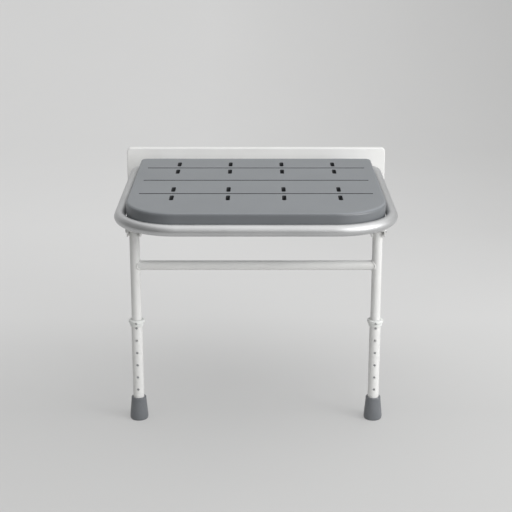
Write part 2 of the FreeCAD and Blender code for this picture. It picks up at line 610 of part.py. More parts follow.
# Upper legs, each with two flanged bushes at the pivot, a top cap and a snap button
BUSH_FACE = "(Sizes.leg_radius + Sizes.bush_flange_thick)"
LEG_LENGTH = f"({PIVOT_Z} + Sizes.leg_top - Sizes.leg_end)"
BUTTON_FOOT = "(sqrt((Sizes.leg_radius - Sizes.leg_wall) ^ 2 - Sizes.button_flange ^ 2) - 0.3)"
for side_name, side in SIDES:
    middle = f"{side} * {LEG_HALF}"
    outside = rod(f"upper_leg_outside_{side_name}", "Sizes.leg_radius", LEG_LENGTH,
                  (middle, LEG_Y, "Sizes.leg_end"))
    tools = [
        rod(f"upper_leg_bore_{side_name}", "Sizes.leg_radius - Sizes.leg_wall", LEG_LENGTH,
            (middle, LEG_Y, "Sizes.leg_end")),
        rod(f"upper_leg_pivot_{side_name}", "Sizes.bush_radius", "2 * Sizes.leg_radius",
            (f"{middle} - Sizes.leg_radius", LEG_Y, PIVOT_Z), ALONG_X),
        rod(f"upper_leg_window_{side_name}", "Sizes.hole_radius", "Sizes.leg_radius",
            (middle, f"{LEG_Y} - Sizes.leg_radius", BUTTON_Z), ALONG_Y),
    ]
    cut(f"upper_leg_{side_name}", outside, tools)

    bushes = []
    for end_name, end in (("outer", side), ("inner", f"-1 * {side}")):
        outward = f"{middle} + {end} * {BUSH_FACE}"
        low = f"min({outward}; {middle} + {end} * Sizes.leg_radius)"
        flange = rod(f"bush_flange_{side_name}_{end_name}", "Sizes.bush_flange",
                     "Sizes.bush_flange_thick", (low, LEG_Y, PIVOT_Z), ALONG_X)
        inmost = f"min({middle} + {end} * 0.5; {middle} + {end} * Sizes.leg_radius)"
        sleeve = rod(f"bush_sleeve_{side_name}_{end_name}", "Sizes.bush_radius",
                     "Sizes.leg_radius - 0.5", (inmost, LEG_Y, PIVOT_Z), ALONG_X)
        saddle = rod(f"bush_saddle_{side_name}_{end_name}", "Sizes.leg_radius",
                     "2 * Sizes.bush_flange", (middle, LEG_Y, f"{PIVOT_Z} - Sizes.bush_flange"))
        bore = rod(f"bush_bore_{side_name}_{end_name}", "Sizes.pivot_hole", f"2 * {BUSH_FACE}",
                   (f"{middle} - {BUSH_FACE}", LEG_Y, PIVOT_Z), ALONG_X)
        collar = cut(f"bush_collar_{side_name}_{end_name}", flange, [saddle])
        whole = join(f"bush_whole_{side_name}_{end_name}", [collar, sleeve])
        bushes.append(cut(f"bush_{side_name}_{end_name}", whole, [bore]))
    group(f"pivot_bushes_{side_name}", bushes)

    cap = new_body(f"leg_cap_{side_name}", (middle, LEG_Y, f"{PIVOT_Z} + Sizes.leg_top"))
    cap_profile = new_sketch(cap, "profile", "XZ_Plane")
    outline(cap_profile, [
        ("0", "-Sizes.cap_plug"), ("Sizes.leg_radius - Sizes.leg_wall", "-Sizes.cap_plug"),
        ("Sizes.leg_radius - Sizes.leg_wall", "0"), ("Sizes.leg_radius", "0"),
        ("Sizes.leg_radius", "Sizes.cap_high / 2"), ("Sizes.leg_radius - 2", "Sizes.cap_high"),
        ("0", "Sizes.cap_high")])
    spin(cap, "turned", cap_profile)

    button = new_body(f"snap_button_{side_name}", (middle, LEG_Y, BUTTON_Z), Rotation(Vector(1, 0, 0), 90))
    button_profile = new_sketch(button, "profile", "XZ_Plane")
    tip = "(Sizes.outer_radius + Sizes.button_out)"
    foot = BUTTON_FOOT
    outline(button_profile, [
        ("0", f"{foot} - Sizes.button_flange_thick"),
        ("Sizes.button_flange", f"{foot} - Sizes.button_flange_thick"),
        ("Sizes.button_flange", foot), ("Sizes.button_radius", foot),
        ("Sizes.button_radius", f"{tip} - 1.2"), ("Sizes.button_radius - 0.5", f"{tip} - 0.4"),
        ("Sizes.button_radius - 1.3", tip), ("0", tip)])
    spin(button, "turned", button_profile)

    spring = new_body(f"snap_spring_{side_name}", (middle, LEG_Y, BUTTON_Z))
    leaf = new_sketch(spring, "leaf", "YZ_Plane", "-Sizes.leaf_half")
    front = f"-({BUTTON_FOOT} - Sizes.button_flange_thick)"
    rear = "(Sizes.leg_radius - Sizes.leg_wall - 1.2)"
    outline(leaf, [
        (front, "6"), (f"{front} + Sizes.leaf_thick", "6"),
        (f"{front} + Sizes.leaf_thick", "-6"),
        ("Sizes.leaf_thick / 2", "-Sizes.leaf_length + 1.5"),
        (f"{rear} - Sizes.leaf_thick", "6"), (rear, "6"),
        ("Sizes.leaf_thick", "-Sizes.leaf_length"), ("-Sizes.leaf_thick", "-Sizes.leaf_length"),
        (front, "-6")])
    extrude(spring, "bent", leaf, "2 * Sizes.leaf_half")

# Cross bar, its ends shaped to fit the legs
bar = rod("bar_outside", "Sizes.bar_radius", f"2 * {LEG_HALF}",
          (f"-{LEG_HALF}", LEG_Y, "Sizes.bar_height"), ALONG_X)
bar_tools = [rod("bar_bore", "Sizes.bar_radius - Sizes.leg_wall", f"2 * {LEG_HALF}",
                 (f"-{LEG_HALF}", LEG_Y, "Sizes.bar_height"), ALONG_X)]
for side_name, side in SIDES:
    bar_tools.append(rod(f"bar_cope_{side_name}", "Sizes.leg_radius", "4 * Sizes.bar_radius",
                         (f"{side} * {LEG_HALF}", LEG_Y, "Sizes.bar_height - 2 * Sizes.bar_radius")))
cut("cross_bar", bar, bar_tools)

# Extensions: the lower tube with its row of holes, a collar, a rubber foot and a disc inside it
TUBE_FOOT = "(Sizes.foot_floor + Sizes.washer_thick)"
for side_name, side in SIDES:
    middle = f"{side} * {LEG_HALF}"
    tube = new_body(f"extension_tube_{side_name}", (middle, LEG_Y, TUBE_FOOT))
    ring = new_sketch(tube, "ring", "XY_Plane")
    circle(ring, "0", "0", "Sizes.outer_radius")
    circle(ring, "0", "0", "Sizes.outer_bore")
    extrude(tube, "length", ring, f"Sizes.outer_top - {TUBE_FOOT}")
    hole = new_sketch(tube, "hole", "XZ_Plane")
    circle(hole, "0", f"Sizes.hole_top - {TUBE_FOOT}", "Sizes.hole_radius")
    drilled = extrude(tube, "drilled", hole, "Sizes.outer_radius + 1", "Pocket", back=True)
    row = tube.newObject("PartDesign::LinearPattern", f"extension_tube_{side_name}_row")
    row.Originals = [drilled]
    row.Direction = (hole, ["V_Axis"])
    row.Reversed = True
    row.setExpression("Occurrences", "Sizes.hole_count")
    row.setExpression("Length", "Sizes.hole_pitch * (Sizes.hole_count - 1)")
    tube.Tip = row

    collar = new_body(f"collar_{side_name}", (middle, LEG_Y, "Sizes.outer_top"))
    collar_profile = new_sketch(collar, "profile", "XZ_Plane")
    outline(collar_profile, [
        ("Sizes.outer_radius", "-Sizes.collar_low"), ("Sizes.collar_base", "-Sizes.collar_low"),
        ("Sizes.collar_base + 0.6", "-Sizes.collar_rim"), ("Sizes.collar_radius", "-Sizes.collar_rim + 1.5"),
        ("Sizes.collar_radius", "Sizes.collar_lip - 1"), ("Sizes.collar_radius - 1.2", "Sizes.collar_lip"),
        ("Sizes.outer_bore", "Sizes.collar_lip"), ("Sizes.outer_bore", "0"), ("Sizes.outer_radius", "0")])
    spin(collar, "turned", collar_profile)
    screw_hole = new_sketch(collar, "screw_hole", "XZ_Plane")
    circle(screw_hole, "0", "-Sizes.collar_rim / 2", "Sizes.collar_screw_radius")
    extrude(collar, "drilled", screw_hole, "Sizes.collar_radius + 1", "Pocket", back=True)

    pan_screw(f"collar_screw_{side_name}",
              (middle, f"{LEG_Y} - Sizes.collar_radius", "Sizes.outer_top - Sizes.collar_rim / 2"),
              ALONG_Y, "Sizes.collar_screw_head", "Sizes.collar_screw_radius",
              "Sizes.collar_screw_radius", "Sizes.collar_radius - Sizes.outer_radius")

    foot = new_body(f"rubber_foot_{side_name}", (middle, LEG_Y, "0"))
    foot_profile = new_sketch(foot, "profile", "XZ_Plane")
    outline(foot_profile, [
        ("0", "0"), ("Sizes.foot_base", "0"), ("Sizes.foot_radius", "2.5"),
        ("Sizes.foot_radius", "Sizes.foot_flare"), ("Sizes.foot_neck", "Sizes.foot_high - 1.5"),
        ("Sizes.foot_neck - 1", "Sizes.foot_high"), ("Sizes.outer_radius", "Sizes.foot_high"),
        ("Sizes.outer_radius", "Sizes.foot_floor"), ("0", "Sizes.foot_floor")])
    spin(foot, "moulded", foot_profile)
    grip = new_sketch(foot, "grip", "XY_Plane")
    for inner in (4, 9, 13):
        circle(grip, "0", "0", str(inner))
        circle(grip, "0", "0", str(inner + 1.5))
    extrude(foot, "grooved", grip, "Sizes.foot_groove_deep", "Pocket", back=True)

    rod(f"foot_disc_{side_name}", "Sizes.outer_radius", "Sizes.washer_thick",
        (middle, LEG_Y, "Sizes.foot_floor"))

doc.recompute()

# Each sub-part is checked and written to its own file
NODES = ["wall_plate", "wall_spacers", "hinge_cap_screws", "hinge_cap_nuts", "seat_frame",
         "front_rail", "middle_rail", "rear_rail", "seat_pad", "seat_inserts", "seat_screws",
         "pivot_nuts", "cross_bar"]
PAIRS = ["hinge_base", "hinge_cap", "tube_ring", "leg_bracket", "pivot_bolt", "upper_leg",
         "pivot_bushes", "leg_cap", "snap_button", "snap_spring", "extension_tube", "collar",
         "collar_screw", "rubber_foot", "foot_disc"]
NODES += [f"{pair}_{side_name}" for pair in PAIRS for side_name, _ in SIDES]

for each in doc.Objects:
    if "Invalid" in each.State or "Error" in each.State:
        raise RuntimeError(f"{each.Name} did not build: {each.State}")
for name in NODES:
    part = doc.getObject(name)
    part.Label = name
    shape = part.Shape
    if shape.isNull() or not shape.isValid() or not shape.Solids:
        raise RuntimeError(f"{name} has no sound solid")
    Part.Shape(shape).exportStep(f"parts/{name}.step")
    box = shape.BoundBox
    print(f"{name}: {len(shape.Solids)} solids, {box.XLength:.1f} x {box.YLength:.1f} x {box.ZLength:.1f}")
print(len(NODES), "nodes")
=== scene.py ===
# %% [markdown]
# # Fold down wall seat
# This notebook dresses a finished CAD model of a bathroom seat. The seat hinges on a plate that is
# screwed to the wall, and stands on two folding legs. The CAD model sets every size and place.
# Here the pieces get their finish, and those that CAD keeps plain are modelled again in full.

# %% Load the frame
import json
import math
import bmesh
import bpy
from mathutils import Matrix, Vector


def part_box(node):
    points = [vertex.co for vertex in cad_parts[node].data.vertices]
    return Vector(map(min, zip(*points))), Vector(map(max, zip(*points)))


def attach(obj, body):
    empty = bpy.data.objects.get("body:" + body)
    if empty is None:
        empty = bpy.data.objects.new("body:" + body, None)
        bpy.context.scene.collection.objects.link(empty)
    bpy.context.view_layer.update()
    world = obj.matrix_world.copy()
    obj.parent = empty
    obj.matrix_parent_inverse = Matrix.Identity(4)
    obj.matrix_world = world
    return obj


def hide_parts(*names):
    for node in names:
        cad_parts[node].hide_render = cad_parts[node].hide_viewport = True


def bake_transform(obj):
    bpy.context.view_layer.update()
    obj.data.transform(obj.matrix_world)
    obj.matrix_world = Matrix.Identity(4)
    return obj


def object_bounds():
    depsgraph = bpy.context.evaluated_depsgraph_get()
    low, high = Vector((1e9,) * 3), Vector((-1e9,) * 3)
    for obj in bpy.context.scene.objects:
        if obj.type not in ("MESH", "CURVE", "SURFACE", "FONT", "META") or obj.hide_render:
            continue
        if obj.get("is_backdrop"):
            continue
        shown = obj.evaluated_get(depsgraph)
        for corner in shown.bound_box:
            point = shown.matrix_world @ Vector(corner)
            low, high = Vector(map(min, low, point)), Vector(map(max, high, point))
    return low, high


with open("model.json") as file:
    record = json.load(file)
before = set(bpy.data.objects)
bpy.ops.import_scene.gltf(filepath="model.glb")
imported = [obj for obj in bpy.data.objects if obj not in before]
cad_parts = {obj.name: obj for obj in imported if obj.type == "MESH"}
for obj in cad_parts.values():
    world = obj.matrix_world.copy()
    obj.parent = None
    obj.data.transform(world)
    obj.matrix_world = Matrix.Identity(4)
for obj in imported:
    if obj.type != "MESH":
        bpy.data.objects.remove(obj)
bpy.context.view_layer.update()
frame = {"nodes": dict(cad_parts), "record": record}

print("pieces from CAD:", len(frame["nodes"]))

# %% [markdown]
# ## Camera
# The photograph's vanishing points give its camera. The sides of the seat meet far above the
# picture, so the camera looks down by 17 degrees, and the legs lean together by so little that it
# must stand over two metres away with a long lens. A camera on the seat's own middle plane needs no
# turn and no shift, which keeps every other view of the model true as well.

# %% Camera
PICTURE = 512
FOCAL_PIXELS = 1300
SENSOR_WIDTH = 36
CAMERA_PITCH = math.radians(17.02)
CAMERA_PLACE = (0.0, -2.549, 1.0563)

lens = bpy.data.cameras.new("photo_lens")
lens.sensor_width = SENSOR_WIDTH
lens.lens = FOCAL_PIXELS / PICTURE * SENSOR_WIDTH
camera = bpy.data.objects.new("photo_camera", lens)
camera.location = CAMERA_PLACE
camera.rotation_euler = (math.pi / 2 - CAMERA_PITCH, 0, 0)
bpy.context.scene.collection.objects.link(camera)
bpy.context.scene.camera = camera
print("lens", round(lens.lens, 1), "mm")

# %% [markdown]
# ## Lamps
# The photograph is a plain studio picture. The shadow lies right under the seat and a little to the
# left, so the main lamp is a wide softbox overhead. White parts grow brighter towards the right,
# which takes a second softbox close by on that side and a third one in front of it.

# %% Lamps
# For each lamp: its place and its side in metres, and its power in watts.
LAMPS = {
    "overhead_softbox": ((0.25, 0.0, 2.3), 3.6, 25),
    "side_softbox": ((1.7, -0.9, 0.95), 1.0, 10.5),
    "front_softbox": ((1.9, -2.3, 1.7), 2.4, 35),
}
LIT_SPOT = Vector((0, 0, 0.3))

for name, (place, side, power) in LAMPS.items():
    lamp = bpy.data.lights.new(name, "AREA")
    lamp.shape = "SQUARE"
    lamp.size = side
    lamp.energy = power
    holder = bpy.data.objects.new(name, lamp)
    holder.location = place
    towards = LIT_SPOT - holder.location
    holder.rotation_euler = towards.to_track_quat("-Z", "Y").to_euler()
    bpy.context.scene.collection.objects.link(holder)
print("lamps:", ", ".join(LAMPS))

# %% [markdown]
# ## World
# The studio itself is brighter on the right than on the left, and the world carries that slope, so
# metal and plastic mirror it too. The camera alone sees one pale grey instead, so that a view from
# any side has a plain background.

# %% World
WORLD_LEFT = 0.26
WORLD_RIGHT = 0.76
BACKGROUND = 0.62
WORLD_COLOUR = (1, 1, 0.99, 1)

world = bpy.data.worlds.new("studio")
bpy.context.scene.world = world
world.use_nodes = True
tree = world.node_tree
direction = tree.nodes.new("ShaderNodeTexCoord")
across = tree.nodes.new("ShaderNodeSeparateXYZ")
slope = tree.nodes.new("ShaderNodeMapRange")
slope.interpolation_type = "SMOOTHSTEP"
slope.inputs["From Min"].default_value = -1
slope.inputs["To Min"].default_value = WORLD_LEFT
slope.inputs["To Max"].default_value = WORLD_RIGHT
tree.links.new(direction.outputs["Generated"], across.inputs["Vector"])
tree.links.new(across.outputs["X"], slope.inputs["Value"])
seen = tree.nodes.new("ShaderNodeLightPath")
chosen = tree.nodes.new("ShaderNodeMix")
chosen.inputs["B"].default_value = BACKGROUND
tree.links.new(seen.outputs["Is Camera Ray"], chosen.inputs["Factor"])
tree.links.new(slope.outputs["Result"], chosen.inputs["A"])
tree.links.new(chosen.outputs["Result"], tree.nodes["Background"].inputs["Strength"])
tree.nodes["Background"].inputs["Color"].default_value = WORLD_COLOUR
bpy.context.scene.view_settings.view_transform = "Standard"
print("world from", WORLD_LEFT, "on the left to", WORLD_RIGHT, "on the right")

# %% [markdown]
# ## Finishes
# Every finish is a node tree made from a few reusable steps. Real surfaces are never one flat
# value, so each finish breaks up its colour and its gloss with noise at the size that the real
# grain has, and lifts the surface a little with the same noise as a bump. The noise is read in
# object space, in metres, so that the grain keeps its true size and stays with the moving piece.


# %% Steps that the finishes share
def new_finish(name, colour, roughness, metallic=0.0):
    """A material with one Principled shader, and its node tree."""
    made = bpy.data.materials.new(name)
    made.use_nodes = True
    shader = made.node_tree.nodes["Principled BSDF"]
    shader.inputs["Base Color"].default_value = (*colour, 1)
    shader.inputs["Roughness"].default_value = roughness
    shader.inputs["Metallic"].default_value = metallic
    return made, made.node_tree, shader


def add_noise(tree, scale, detail=2.0, stretch=(1, 1, 1)):
    """Noise in object space; the scale is in features per metre."""
    place = tree.nodes.new("ShaderNodeTexCoord")
    shape = tree.nodes.new("ShaderNodeMapping")
    shape.inputs["Scale"].default_value = stretch
    noise = tree.nodes.new("ShaderNodeTexNoise")
    noise.inputs["Scale"].default_value = scale
    noise.inputs["Detail"].default_value = detail
    tree.links.new(place.outputs["Object"], shape.inputs["Vector"])
    tree.links.new(shape.outputs["Vector"], noise.inputs["Vector"])
    return noise.outputs["Fac"]


def spread(tree, value, low, high, start=0.3, stop=0.7):
    """Spread a noise value between two levels."""
    ranged = tree.nodes.new("ShaderNodeMapRange")
    ranged.inputs["From Min"].default_value = start
    ranged.inputs["From Max"].default_value = stop
    ranged.inputs["To Min"].default_value = low
    ranged.inputs["To Max"].default_value = high
    tree.links.new(value, ranged.inputs["Value"])
    return ranged.outputs["Result"]


print("shared steps: a finish, a noise and its spread")

# %% What a noise can move
def tint(tree, value, dark, light):
    """Blend two close colours by a value."""
    mix = tree.nodes.new("ShaderNodeMix")
    mix.data_type = "RGBA"
    mix.inputs["A"].default_value = (*dark, 1)
    mix.inputs["B"].default_value = (*light, 1)
    tree.links.new(value, mix.inputs["Factor"])
    return mix.outputs["Result"]


def vary_colour(tree, shader, value, dark, light):
    """Let a noise move the base colour between two close colours."""
    tree.links.new(tint(tree, spread(tree, value, 0, 1), dark, light), shader.inputs["Base Color"])


def vary_gloss(tree, shader, value, low, high):
    """Let a noise move the roughness between two levels."""
    tree.links.new(spread(tree, value, low, high), shader.inputs["Roughness"])


def lift(tree, shader, value, height, strength):
    """Raise the surface by a value times a height in metres."""
    bump = tree.nodes.new("ShaderNodeBump")
    bump.inputs["Distance"].default_value = height
    bump.inputs["Strength"].default_value = strength
    tree.links.new(value, bump.inputs["Height"])
    tree.links.new(bump.outputs["Normal"], shader.inputs["Normal"])


def scaled(colour, share):
    """A darker or lighter version of a colour."""
    return tuple(each * share for each in colour)


print("a noise can move the colour, the gloss and the height of a surface")

# %% [markdown]
# ### White powder coat
# The plate, the legs and the cross bar are steel with a baked powder coat. Up close it has a soft
# orange peel, about a millimetre from bump to bump, and its gloss drifts a little.

# %% White powder coat
COAT_DRIFT = 0.02


def near_white(level):
    """A white with a trace less blue in it."""
    return level, level, level - 0.01


def coat_surface(tree, shader, drift):
    """The gloss and the orange peel of a powder coat."""
    vary_gloss(tree, shader, drift, low=0.31, high=0.42)
    lift(tree, shader, add_noise(tree, scale=620, detail=1.5), height=0.00012, strength=0.5)


def white_coat(name, level):
    made, tree, shader = new_finish(name, near_white(level), 0.36)
    drift = add_noise(tree, scale=9, detail=3)
    vary_colour(tree, shader, drift, near_white(level - COAT_DRIFT), near_white(level + COAT_DRIFT))
    coat_surface(tree, shader, drift)
    return made


# The plate wears the legs' coat at a brighter level: the extra brightness is painted light.
LEG_COAT, PLATE_LIT_COAT = 0.76, 0.87
FINISHES = {
    "white_coat": white_coat("white_powder_coat", LEG_COAT),
    "plate_painted_light": white_coat("plate_brightened_coat", PLATE_LIT_COAT),
}
print("white coats:", ", ".join(FINISHES))

# %% [markdown]
# ### White coat over a bare sliding end
# The lower end of each upper leg slides inside the extension tube, so it has no paint: paint there
# would scrape off. The row of holes shows this bare steel as grey dots. One mask by height does it:
# above the line the leg is painted, below it is ground steel.

# %% White coat over a bare sliding end
PAINT_ENDS, PAINT_EDGE = 0.2, 0.0005


def half_painted():
    made, tree, shader = new_finish("half_painted_leg", near_white(LEG_COAT), 0.36)
    place = tree.nodes.new("ShaderNodeTexCoord")
    apart = tree.nodes.new("ShaderNodeSeparateXYZ")
    tree.links.new(place.outputs["Object"], apart.inputs["Vector"])
    bare = spread(tree, apart.outputs["Z"], 1, 0, PAINT_ENDS - PAINT_EDGE, PAINT_ENDS + PAINT_EDGE)
    scratch = add_noise(tree, scale=900, detail=3, stretch=(1, 1, 0.1))
    steel = tint(tree, spread(tree, scratch, 0, 1), (0.36, 0.37, 0.38), (0.44, 0.45, 0.46))
    drift = add_noise(tree, scale=9, detail=3)
    paint = tint(tree, spread(tree, drift, 0, 1), near_white(LEG_COAT - COAT_DRIFT),
                 near_white(LEG_COAT + COAT_DRIFT))
    mix = tree.nodes.new("ShaderNodeMix")
    mix.data_type = "RGBA"
    tree.links.new(bare, mix.inputs["Factor"])
    tree.links.new(paint, mix.inputs["A"])
    tree.links.new(steel, mix.inputs["B"])
    tree.links.new(mix.outputs["Result"], shader.inputs["Base Color"])
    tree.links.new(bare, shader.inputs["Metallic"])
    coat_surface(tree, shader, drift)
    return made


FINISHES["half_painted"] = half_painted()
print("paint ends at height", PAINT_ENDS)

# %% [markdown]
# ### Satin tube
# The seat frame is round tube with a satin finish. Satin metal is ground with a fine belt, which
# leaves short faint lines and a soft, broad highlight. A noise that is stretched along the tube
# draws the lines, and a slow one clouds the tone.

# %% Satin tube
def satin_metal():
    made, tree, shader = new_finish("satin_metal", (0.63, 0.635, 0.64), 0.48, metallic=1.0)
    grain = add_noise(tree, scale=900, detail=3, stretch=(1, 0.12, 1))
    cloud = add_noise(tree, scale=14, detail=4)
    vary_colour(tree, shader, cloud, (0.60, 0.605, 0.61), (0.66, 0.665, 0.67))
    vary_gloss(tree, shader, grain, low=0.44, high=0.54)
    lift(tree, shader, grain, height=0.00004, strength=0.4)
    return made


FINISHES["tube_metal"] = satin_metal()
print("satin tube is ready")

# %% [markdown]
# ### Moulded seat
# The seat is a grey moulded polymer with a fine matt grain, which gives wet skin some grip. Its
# sides come from another part of the mould, with a smoother face, which catches a faint light where
# the rim turns over. Their colour is a darker copy of the top's: painted shade on the sides.

# %% Moulded seat
SEAT_GREY = (0.238, 0.252, 0.268)


def moulded_seat(name, share, roughness):
    colour = scaled(SEAT_GREY, share)
    made, tree, shader = new_finish(name, colour, roughness)
    grain = add_noise(tree, scale=1500)
    cloud = add_noise(tree, scale=7, detail=4)
    vary_colour(tree, shader, cloud, scaled(colour, 0.97), scaled(colour, 1.03))
    vary_gloss(tree, shader, grain, low=roughness - 0.07, high=roughness + 0.04)
    lift(tree, shader, grain, height=0.00006, strength=0.5)
    return made


FINISHES["seat_plastic"] = moulded_seat("moulded_seat", share=1.0, roughness=0.5)
# The sides' colour at 0.74 of the top's is painted shade; only their lower roughness is their own.
FINISHES["seat_side"] = moulded_seat("moulded_seat_side", share=0.74, roughness=0.36)
print("seat plastic for the top and the sides")

# %% [markdown]
# The bottoms of the grooves and the walls of the drain slots get a darker version of the same
# plastic with a rougher, dull face. The dark tone is painted shade for the recesses.

# %% Moulded seat, in its recesses
def recess_painted_shade():
    # The near-black tone is painted shade for the inside of the grooves and slots.
    made, tree, shader = new_finish("recess_painted_shade", (0.055, 0.058, 0.062), 0.7)
    shade_mottle = add_noise(tree, scale=90, detail=4)
    vary_colour(tree, shader, shade_mottle, (0.045, 0.048, 0.052), (0.068, 0.071, 0.075))
    vary_gloss(tree, shader, shade_mottle, low=0.62, high=0.78)
    lift(tree, shader, shade_mottle, height=0.0001, strength=0.4)
    return made


FINISHES["recess_painted_shade"] = recess_painted_shade()
print("seat recesses are ready")

# %% [markdown]
# ### Nylon
# The bearing blocks and bushes are plain nylon, and the collars and caps are a paler plastic. Light
# enters such plastic a little before it comes back, so its shadows are soft. A faint subsurface
# weight with a radius of two millimetres gives that.

# %% Nylon
def nylon(name, colour):
    made, tree, shader = new_finish(name, colour, 0.42)
    mottle = add_noise(tree, scale=160, detail=3)
    vary_gloss(tree, shader, mottle, low=0.37, high=0.48)
    vary_colour(tree, shader, mottle, scaled(colour, 0.95), colour)
    shader.inputs["Subsurface Weight"].default_value = 0.08
    shader.inputs["Subsurface Radius"].default_value = (0.002, 0.002, 0.0018)
    lift(tree, shader, mottle, height=0.00005, strength=0.3)
    return made


FINISHES["bearing_nylon"] = nylon("bearing_nylon", (0.42, 0.43, 0.45))
FINISHES["collar_plastic"] = nylon("collar_plastic", (0.80, 0.815, 0.80))
FINISHES["cap_plastic"] = nylon("cap_plastic", (0.70, 0.70, 0.69))
print("three nylons")

# %% [markdown]
# ### Rubber
# The feet are dark grey rubber. Rubber sweats a pale wax, its bloom, which clouds the tone, and the
# mould leaves a fine grain.

# %% Rubber
def foot_rubber():
    made, tree, shader = new_finish("foot_rubber", (0.155, 0.164, 0.176), 0.33)
    bloom = add_noise(tree, scale=55, detail=4)
    vary_colour(tree, shader, bloom, (0.146, 0.155, 0.167), (0.168, 0.177, 0.189))
    vary_gloss(tree, shader, bloom, low=0.28, high=0.40)
    lift(tree, shader, add_noise(tree, scale=1100), height=0.00008, strength=0.5)
    return made


FINISHES["foot_rubber"] = foot_rubber()
print("foot rubber is ready")

# %% [markdown]
# ### Small metal
# Screws, nuts, springs and inserts are bare metal. A short scratchy noise keeps them from looking
# like mirrors.

# %% Small metal
def bare_metal(name, colour, roughness):
    made, tree, shader = new_finish(name, colour, roughness, metallic=1.0)
    scratch = add_noise(tree, scale=2200, detail=3, stretch=(1, 1, 0.2))
    vary_gloss(tree, shader, scratch, low=roughness - 0.06, high=roughness + 0.1)
    vary_colour(tree, shader, scratch, scaled(colour, 0.85), colour)
    lift(tree, shader, scratch, height=0.00003, strength=0.3)
    return made


FINISHES["screw_steel"] = bare_metal("screw_steel", (0.58, 0.58, 0.58), 0.28)
FINISHES["spacer_steel"] = bare_metal("spacer_steel", (0.52, 0.53, 0.55), 0.36)
FINISHES["spring_steel"] = bare_metal("spring_steel", (0.38, 0.38, 0.40), 0.32)
FINISHES["insert_brass"] = bare_metal("insert_brass", (0.68, 0.50, 0.24), 0.34)
print("four small metals")

# %% [markdown]
# ## Dress the CAD pieces
# Each CAD piece names its finish in the record. The table of finishes turns that name into a
# material, so a piece can't be forgotten. Two kinds of piece get a finer choice: the upper legs,
# which are half painted, and the bushes, which are of the same pale plastic as the caps.

# %% Dress the CAD pieces
SIDES = {"left": -1, "right": 1}
slot_of = {part["node"]: part["material_slot"] for part in frame["record"]["subparts"]}
for name, node in frame["nodes"].items():
    node.data.materials.clear()
    node.data.materials.append(FINISHES[slot_of[name]])
for side in SIDES:
    frame["nodes"][f"upper_leg_{side}"].data.materials[0] = FINISHES["half_painted"]
    frame["nodes"][f"pivot_bushes_{side}"].data.materials[0] = FINISHES["cap_plastic"]
print("dressed", len(frame["nodes"]), "pieces in", len(FINISHES), "finishes")

# %% [markdown]
# ## Tools for modelled pieces
# The pieces that follow are modelled again, because CAD keeps them plain. Each one is a bmesh, which
# a few lines can build point by point without Blender's edit mode. A new piece gets its finish and
# rides on the same body as the CAD piece that it stands for. A turned piece is a stack of rings, as
# from a lathe, with a curve wherever its profile turns. A ring may also have six corners, for nuts
# and sockets.

# %% A modelled piece
MM = 0.001
MERGE_WITHIN = 1e-6
SHARP_ABOVE = math.radians(35)
body_of = {node: body for body, nodes in frame["record"]["behaviour"]["bodies"].items()
           for node in nodes}


def add_piece(name, shape, slot, body, *nodes):
    """Make a bmesh a smooth shaded piece with a finish, on a body, in place of CAD nodes."""
    bmesh.ops.remove_doubles(shape, verts=shape.verts, dist=MERGE_WITHIN)
    bmesh.ops.recalc_face_normals(shape, faces=shape.faces)
    mesh = bpy.data.meshes.new(name)
    shape.to_mesh(mesh)
    shape.free()
    mesh.materials.append(FINISHES[slot])
    mesh.shade_smooth()
    mesh.set_sharp_from_angle(angle=SHARP_ABOVE)
    piece = bpy.data.objects.new(name, mesh)
    bpy.context.scene.collection.objects.link(piece)
    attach(piece, body)
    if nodes:
        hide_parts(*nodes)
    return piece


def middle(node):
    """The middle of a CAD piece's box."""
    low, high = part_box(node)
    return (Vector(low) + Vector(high)) / 2


print("bodies with pieces:", len(set(body_of.values())))

# %% A turned piece
FACING_FRONT = Matrix.Rotation(math.pi / 2, 3, "X")
FACING_DOWN = Matrix.Rotation(math.pi, 3, "X")
FACING_WALL = Matrix.Rotation(-math.pi / 2, 3, "X")


def lathe(shape, rings, place, turn=Matrix.Identity(3), closed=False, steps=48):
    """Skin a stack of rings: radius and height in mm, and six for a ring with six corners."""
    rows = []
    for radius, height, *corners in rings:
        row = []
        for step in range(steps):
            angle = 2 * math.pi * step / steps
            reach = radius
            if corners:
                part = 2 * math.pi / corners[0]
                reach *= math.cos(part / 2) / math.cos(angle % part - part / 2)
            spot = Vector((reach * math.cos(angle), reach * math.sin(angle), height)) * MM
            row.append(shape.verts.new(Vector(place) + turn @ spot))
        rows.append(row)
    for lower, upper in zip(rows, rows[1:] + rows[:1] if closed else rows[1:]):
        for step in range(steps):
            after = (step + 1) % steps
            shape.faces.new((lower[step], lower[after], upper[after], upper[step]))


def rounded(start, corner, stop, steps=4):
    """Rings along a curve that leaves the start towards the corner and meets the stop from it."""
    curve = []
    for step in range(steps + 1):
        share = step / steps
        weights = ((1 - share) ** 2, 2 * share * (1 - share), share ** 2)
        ring = [sum(weight * point[axis] for weight, point in zip(weights, (start, corner, stop)))
                for axis in (0, 1)]
        curve.append(tuple(ring))
    return curve


print("a quarter turn of a rim:", rounded((0, 2), (2, 2), (2, 0), 2))

# %% [markdown]
# ## Soft edges
# No real edge is sharp: pressed sheet, sawn tube and moulded nylon all catch a thin line of light
# along theirs. Sharp CAD edges are what makes a model look like a drawing. A bevel on a copy of the
# piece is enough, once its loose triangles are joined and its flat faces are whole again. Weighted
# normals then keep the flat faces flat, so that only the bevel itself catches light. The wall plate
# gets a brighter copy of the white coat here: painted light that lifts it above what the lamps give.

# %% Soft edges
SOFT_EDGES = {
    "wall_plate": 0.5, "leg_bracket_left": 0.4, "leg_bracket_right": 0.4,
    "hinge_base_left": 0.7, "hinge_base_right": 0.7, "hinge_cap_left": 0.7, "hinge_cap_right": 0.7,
    "front_rail": 0.5, "middle_rail": 0.5, "rear_rail": 0.5, "tube_ring_left": 0.6,
    "tube_ring_right": 0.6, "extension_tube_left": 0.2, "extension_tube_right": 0.2,
}
FLAT_WITHIN = math.radians(0.5)
EDGE_ABOVE = math.radians(40)


